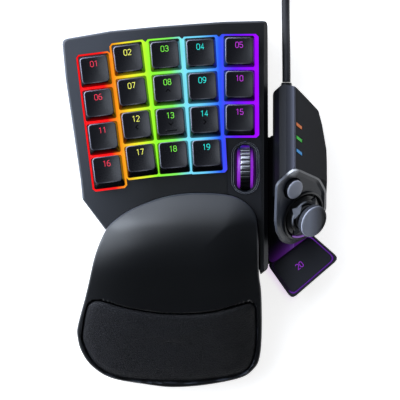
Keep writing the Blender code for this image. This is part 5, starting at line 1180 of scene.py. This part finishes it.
# Painted glow: a violet arc at the disc's lower left, standing in for light on its rim.
shaped("disc_painted_glow", [arc_part(12.25, 13.0, 2.2, 3.0, -84, -40)], painted_ring_glow, "housing")
gaiter = (
    (4.6, -1.6), (6.4, -0.6), (8.6, -0.9), (10.6, -0.3), (12.9, 0.1), (12.9, 0.35), (10.6, 0.0),
    (8.6, -0.6), (6.4, -0.3), (4.6, -1.2),
)
shaped("stick_gaiter", [lathed(gaiter, 72, CONTROL)], grip_rubber, "housing")
print("thumb controls")

# %% [markdown]
# ## Palm rest
# The shell is a soft-touch hump with a seat for the pad let into its front half. Its height is a
# crest along its length that rolls over at the edges. The shape follows this rule everywhere, so the
# mesh is a fine fan of rings between the outline and its middle, each point lifted to the rule's
# height, and let down by the depth of the seat where it lies inside the pad's outline.

# %% Outlines
PLAN, PALM_TOP = np.array((153.0, 203.2)), 51.0
PALM = np.array((
    (-0.337, -0.069), (-0.295, -0.036), (-0.230, -0.007), (-0.120, 0.022), (-0.010, 0.031),
    (0.101, 0.025), (0.161, 0.005), (0.197, -0.031), (0.205, -0.077), (0.210, -0.181),
    (0.220, -0.243), (0.223, -0.346), (0.216, -0.417), (0.194, -0.450), (0.144, -0.475),
    (0.018, -0.494), (-0.103, -0.500), (-0.202, -0.492), (-0.324, -0.475), (-0.395, -0.442),
    (-0.433, -0.401), (-0.447, -0.359), (-0.444, -0.326), (-0.412, -0.239), (-0.378, -0.139),
))[::-1] * PLAN
PAD = np.array((
    (-0.376, -0.2605), (-0.340, -0.265), (-0.261, -0.282), (-0.120, -0.297), (0.033, -0.293),
    (0.150, -0.271), (0.180, -0.2665), (0.195, -0.2775), (0.199, -0.300), (0.197, -0.401),
    (0.156, -0.459), (0.033, -0.480), (-0.092, -0.485), (-0.285, -0.475), (-0.378, -0.438),
    (-0.422, -0.379), (-0.425, -0.346), (-0.412, -0.291), (-0.401, -0.2705),
))[::-1] * PLAN
CREST = (
    (0.05, 0.93), (-0.06, 1.0), (-0.16, 0.93), (-0.26, 0.74), (-0.36, 0.56), (-0.45, 0.45), (-0.52, 0.40),
)


def smooth_loop(points, per_span):
    """A closed smooth curve through given points."""
    loop = []
    for i in range(len(points)):
        a, b, c, d = (points[(i + k) % len(points)] for k in (-1, 0, 1, 2))
        loop += [between(a, b, c, d, k / per_span) for k in range(per_span)]
    return np.array(loop)


def evenly(loop, count):
    """The same closed curve with evenly spaced points."""
    closed = np.vstack((loop, loop[:1]))
    steps = np.concatenate(((0,), np.cumsum(np.linalg.norm(np.diff(closed, axis=0), axis=1))))
    at = np.linspace(0, steps[-1], count, endpoint=False)
    return np.column_stack([np.interp(at, steps, closed[:, k]) for k in (0, 1)])


def distance(points, loop):
    """How far plan points lie from a closed outline; negative inside it."""
    run = np.roll(loop, -1, axis=0) - loop
    least = np.full(len(points), np.inf)
    crossings = np.zeros(len(points), int)
    for corner, side in zip(loop, run):
        off = points - corner
        t = np.clip(off @ side / (side @ side), 0, 1)
        least = np.minimum(least, np.linalg.norm(off - t[:, None] * side, axis=1))
        far = corner + side
        spans = (corner[1] > points[:, 1]) != (far[1] > points[:, 1])
        if side[1]:
            crossings += spans & (points[:, 0] < corner[0] + (points[:, 1] - corner[1]) * side[0] / side[1])
    return np.where(crossings % 2 == 1, -least, least)


def inside(points, loop):
    """How far plan points lie inside a closed outline; 0 outside it."""
    return np.maximum(0, -distance(points, loop))


palm_outline, pad_outline = smooth_loop(PALM, 6), smooth_loop(PAD, 6)

# %% Height of the palm rest


def crest_height(y):
    """Height along the palm rest, before its edges."""
    at = y / PLAN[1]
    places, values = zip(*CREST)
    if at >= places[0]:
        return PALM_TOP * values[0]
    k = min(max(i for i in range(len(places)) if places[i] >= at), len(places) - 2)
    t = min(1.0, (places[k] - at) / (places[k] - places[k + 1]))
    around = (values[max(k - 1, 0)], values[k], values[k + 1], values[min(k + 2, len(values) - 1)])
    return PALM_TOP * between(*around, t)


def palm_height(points, inward):
    """Height of the shell's top over plan points that lie inward mm from its edge."""
    rear = np.clip(points[:, 1] / PLAN[1] + 0.5, 0, 1)
    drop = (6.0 + 7.0 * np.sqrt(rear)) * 0.62
    slope = (1 - np.minimum(1, inward / 34.0)) ** 2.4
    edge = 1 - np.sqrt(np.maximum(0, 1 - (1 - np.minimum(1, inward)) ** 2))
    crest = np.array([crest_height(y) for y in points[:, 1]])
    return crest - drop * slope - edge


def fan(loop, shares):
    """Rings of plan points, from the outline (share 0) to its middle (share 1)."""
    middle = loop.mean(axis=0)
    return [loop + (middle - loop) * share for share in shares]


# %% Palm shell
PALM_ROUND, PALM_FLOOR, PALM_WALL, SEAT_DEPTH = 300, 9.6, 6.0, 3.0


def palm_shell_mesh():
    """Top with the pad's seat, side walls, and the hollow underneath."""
    loop = evenly(palm_outline, PALM_ROUND)
    ahead = np.roll(loop, -1, axis=0) - np.roll(loop, 1, axis=0)
    out = np.column_stack((ahead[:, 1], -ahead[:, 0])) / np.linalg.norm(ahead, axis=1)[:, None]
    loop = loop + out * 0.45 * np.clip((loop[:, 1] + 40) / 25, 0, 1)[:, None]
    shares = np.concatenate(((0, 0.002, 0.006, 0.012, 0.02, 0.03), np.linspace(0.04, 0.99, 116)))
    rings = fan(loop, shares)
    flat = np.vstack(rings)
    height = palm_height(flat, inside(flat, loop))
    seat = np.clip((0.9 - distance(flat, pad_outline)) / 0.5, 0, 1)
    height -= SEAT_DEPTH * seat * seat * (3 - 2 * seat)
    top = np.column_stack((flat, height)).reshape(len(rings), PALM_ROUND, 3)
    foot, inner = (np.column_stack((ring, np.full(PALM_ROUND, PALM_FLOOR))) for ring in fan(loop, (0, 0.038)))
    hollow = [inner]
    for ring in fan(loop, (0.04, 0.08, 0.2, 0.5, 0.98)):
        roof = palm_height(ring, inside(ring, palm_outline)) - PALM_WALL
        hollow.append(np.column_stack((ring, np.maximum(PALM_FLOOR + 0.5, roof))))
    return mesh_of("palm_hump", [skin([list(map(tuple, r)) for r in hollow[::-1] + [foot] + list(top)])])


soft_touch = moulded(
    "soft_touch", "housing_plastic", (14, 15, 17), 0.34, 3000, 0.005, 0.08, specular_IOR_level=0.6,
)
# Painted highlight on the shell's chamfers, more where they face left or rear, and painted shade on its
# walls.
painted_edge_highlight_and_shade(soft_touch, (84, 88, 98), 0.2, 0.3, 0.6)
piece("palm_hump", palm_shell_mesh(), soft_touch, "palm_rest", "palm_shell")
print("palm shell")

# %% [markdown]
# ## Leather pad
# The pad is thin foam under leather, glued into its seat. Its edge rolls down into the groove, and
# its top stands a little proud and swells. A flat crowned skin is made first. Then the leather is
# blown up a little by Blender's cloth, held at its lower edge, which gives the slight unevenness of
# a stuffed pad. The moves are averaged, so that no creases are left, and no point may move more than
# half a millimetre, so it still sits in its seat.

# %% Pad
PAD_ROUND, PAD_ROLL, PAD_SWELL = 240, 4.5, 2.6


def pad_mesh():
    """The crowned pad: underside, rolled edge and top."""
    loop = evenly(pad_outline, PAD_ROUND)
    shares = np.concatenate(((0, 0.004, 0.01, 0.02, 0.035, 0.05, 0.07, 0.095), np.linspace(0.12, 0.985, 30)))
    rings = fan(loop, shares)
    flat = np.vstack(rings)
    base = palm_height(flat, inside(flat, palm_outline))
    share = np.minimum(1, inside(flat, pad_outline) / PAD_ROLL)
    swell = np.sqrt(np.maximum(0, 1 - (1 - share) ** 2))
    top = np.column_stack((flat, base - 1.4 + PAD_SWELL * swell)).reshape(len(rings), PAD_ROUND, 3)
    under = [
        np.column_stack((ring, palm_height(ring, inside(ring, palm_outline)) - 2.2))
        for ring in fan(loop, (0.8, 0.4, 0.1, 0.0))
    ]
    mesh = mesh_of("leather_pad", [skin([list(map(tuple, r)) for r in under + list(top)])])
    return mesh, len(under) * PAD_ROUND


def even_out(field, reach=14, passes=3):
    """Average a field of moves with its neighbours round and across the rings."""
    for _ in range(passes):
        field = sum(np.roll(field, k, axis=1) for k in range(-reach, reach + 1)) / (2 * reach + 1)
        field[1:-1] = (field[:-2] + field[1:-1] + field[2:]) / 3
    return field


def stuffed(item, pinned, cap):
    """Blow the piece up with cloth, with its first points pinned, and cap how far each point moves."""
    before = np.array([tuple(v.co) for v in item.data.vertices])
    held = item.vertex_groups.new(name="held")
    held.add(list(range(pinned)), 1.0, "REPLACE")
    cloth = item.modifiers.new("cloth", "CLOTH")
    cloth.settings.use_pressure = True
    cloth.settings.uniform_pressure_force = 4
    cloth.settings.vertex_group_mass = "held"
    cloth.settings.effector_weights.gravity = 0
    for step in range(1, 21):
        scene.frame_set(step)
    seen = item.evaluated_get(bpy.context.evaluated_depsgraph_get())
    after = np.array([tuple(v.co) for v in seen.to_mesh().vertices])
    seen.to_mesh_clear()
    item.modifiers.remove(cloth)
    scene.frame_set(1)
    away = even_out((after - before).reshape(-1, PAD_ROUND, 3)).reshape(-1, 3)
    far = np.maximum(np.linalg.norm(away, axis=1), 1e-9)
    away *= np.minimum(1, cap / far)[:, None]
    item.data.vertices.foreach_set("co", (before + away).ravel())
    item.data.update()
    print("the pad swells by up to", round(float(np.linalg.norm(away, axis=1).max()) / MM, 2), "mm")


pad_data, pad_pinned = pad_mesh()
pad = piece("leather_pad", pad_data, pad_leather, "palm_rest", "palm_pad")
stuffed(pad, pad_pinned, 0.5 * MM)

# %% [markdown]
# ## Thumb key
# The key under the thumb is a flat paddle that swings about a hidden pin. Its solid has the right
# shape, and gets the caps' plastic. Its number shines through like the others.

# %% Thumb key
finished("key_20", thumb_key_paint)
THUMB_KEY = Matrix.Translation((50.11, -25.54, 19.2)) @ Matrix.Rotation(math.radians(37.5), 4, "Z")
on_key = THUMB_KEY @ Matrix.Translation((-1.0, -9.5, 0.04))
shaped("number_20", [moved(part, on_key) for part in number_parts("20")], LEGEND_GLOWS[5], "key_20")

# %% [markdown]
# ## Floor, light and background
# The keypad stands on plain white paper. Two soft lamps hang at the left, and a low strip stands at
# each side for the rims. The room is dark, but its left and rear walls are bright, so flat tops stay
# black and rounded edges catch a line of light. The paper is made a little brighter for the camera
# and for what mirrors or lets through its rays, so that it is white but keeps the shadow. Beside the
# thumb key it has a painted violet glow, standing in for that key's light.

# %% Floor and lights


def paper():
    """White paper, brighter where the camera or a mirror sees it, with a painted violet glow beside the thumb
    key.
    """
    look = Look("paper", "housing_plastic", roughness=0.9, emission_strength=1.0)
    ray = look.node("ShaderNodeLightPath")
    ways = [Signal(look, ray.socket.node.outputs[f"Is {word} Ray"]) for word in ("Glossy", "Transmission")]
    seen = ray.most(ways[0]).most(ways[1])
    fibre = look.noise(900, 3)
    out, side = key_directions(look)
    aside = side - 10.0 * MM
    beside = (1.0 - aside.math("ABSOLUTE", aside) / (5.0 * MM)).clipped()
    # Painted glow: the paper is tinted violet beside the thumb key, standing in for its light.
    violet = beside * out.rising(44, 8) * out.rising(76, -8) * 0.4
    glow = look.mix(violet, (0.82, 0.815, 0.81, 1), (0.5, 0.2, 0.62, 1))
    look.wire(
        base_color=look.mix(violet, paint(238, 237, 235), paint(214, 120, 240)),
        emission_color=look.mix(seen, BLACK, glow),
        normal=look.bump(fibre, 0.02), roughness=0.9 - fibre * 0.05,
    )
    return look


COOL = (0.80, 0.88, 1.0)


def lamp(name, at, toward, size, power):
    """A soft lamp that looks at a point."""
    data = bpy.data.lights.new(name, "AREA")
    data.shape, data.size, data.size_y = "RECTANGLE", *size
    data.energy, data.color = power, COOL
    item = shown(name, data)
    item.location = at
    item.rotation_euler = (Vector(toward) - Vector(at)).to_track_quat("-Z", "Y").to_euler()


corners = [(-3000, -3000, 0), (3000, -3000, 0), (3000, 3000, 0), (-3000, 3000, 0)]
shown("floor", mesh_of("floor", [(corners, [(0, 1, 2, 3)])], (paper(),)))
lamp("upper_left", (-0.24, 0.25, 0.34), (-0.02, 0.02, 0.03), (0.20, 0.20), 0.9)
lamp("near_left", (-0.25, 0.0, 0.33), (-0.05, 0.0, 0.03), (0.2, 0.3), 0.38)
lamp("left_strip", (-0.75, 0.15, 0.22), (0, 0, 0.03), (0.15, 0.7), 1.8)
lamp("right_strip", (0.6, -0.1, 0.12), (0.05, 0, 0.03), (0.12, 0.5), 0.18)

# %% Room
WALLS_TOWARD, WALLS_STRENGTH = (-0.72, 0.69, 0.0), 3.0
WALLS = ((0.0, 0.015), (0.2, 0.08), (0.35, 0.24), (0.56, 0.6), (0.78, 1.0), (1.0, 1.0))


def studio_sky():
    """A dark room whose left and rear walls are bright."""
    world = bpy.data.worlds.new("studio")
    scene.world = world
    world.use_nodes = True
    tree = world.node_tree
    ray, toward = tree.nodes.new("ShaderNodeTexCoord"), tree.nodes.new("ShaderNodeVectorMath")
    walls = tree.nodes.new("ShaderNodeValToRGB")
    toward.operation = "DOT_PRODUCT"
    toward.inputs[1].default_value = WALLS_TOWARD
    set_stops(walls.color_ramp, [(at, (tone * 0.82, tone * 0.89, tone, 1)) for at, tone in WALLS])
    tree.links.new(ray.outputs["Generated"], toward.inputs[0])
    tree.links.new(toward.outputs["Value"], walls.inputs[0])
    tree.links.new(walls.outputs[0], tree.nodes["Background"].inputs["Color"])
    tree.nodes["Background"].inputs["Strength"].default_value = WALLS_STRENGTH


studio_sky()
print("floor, four lamps and the room")
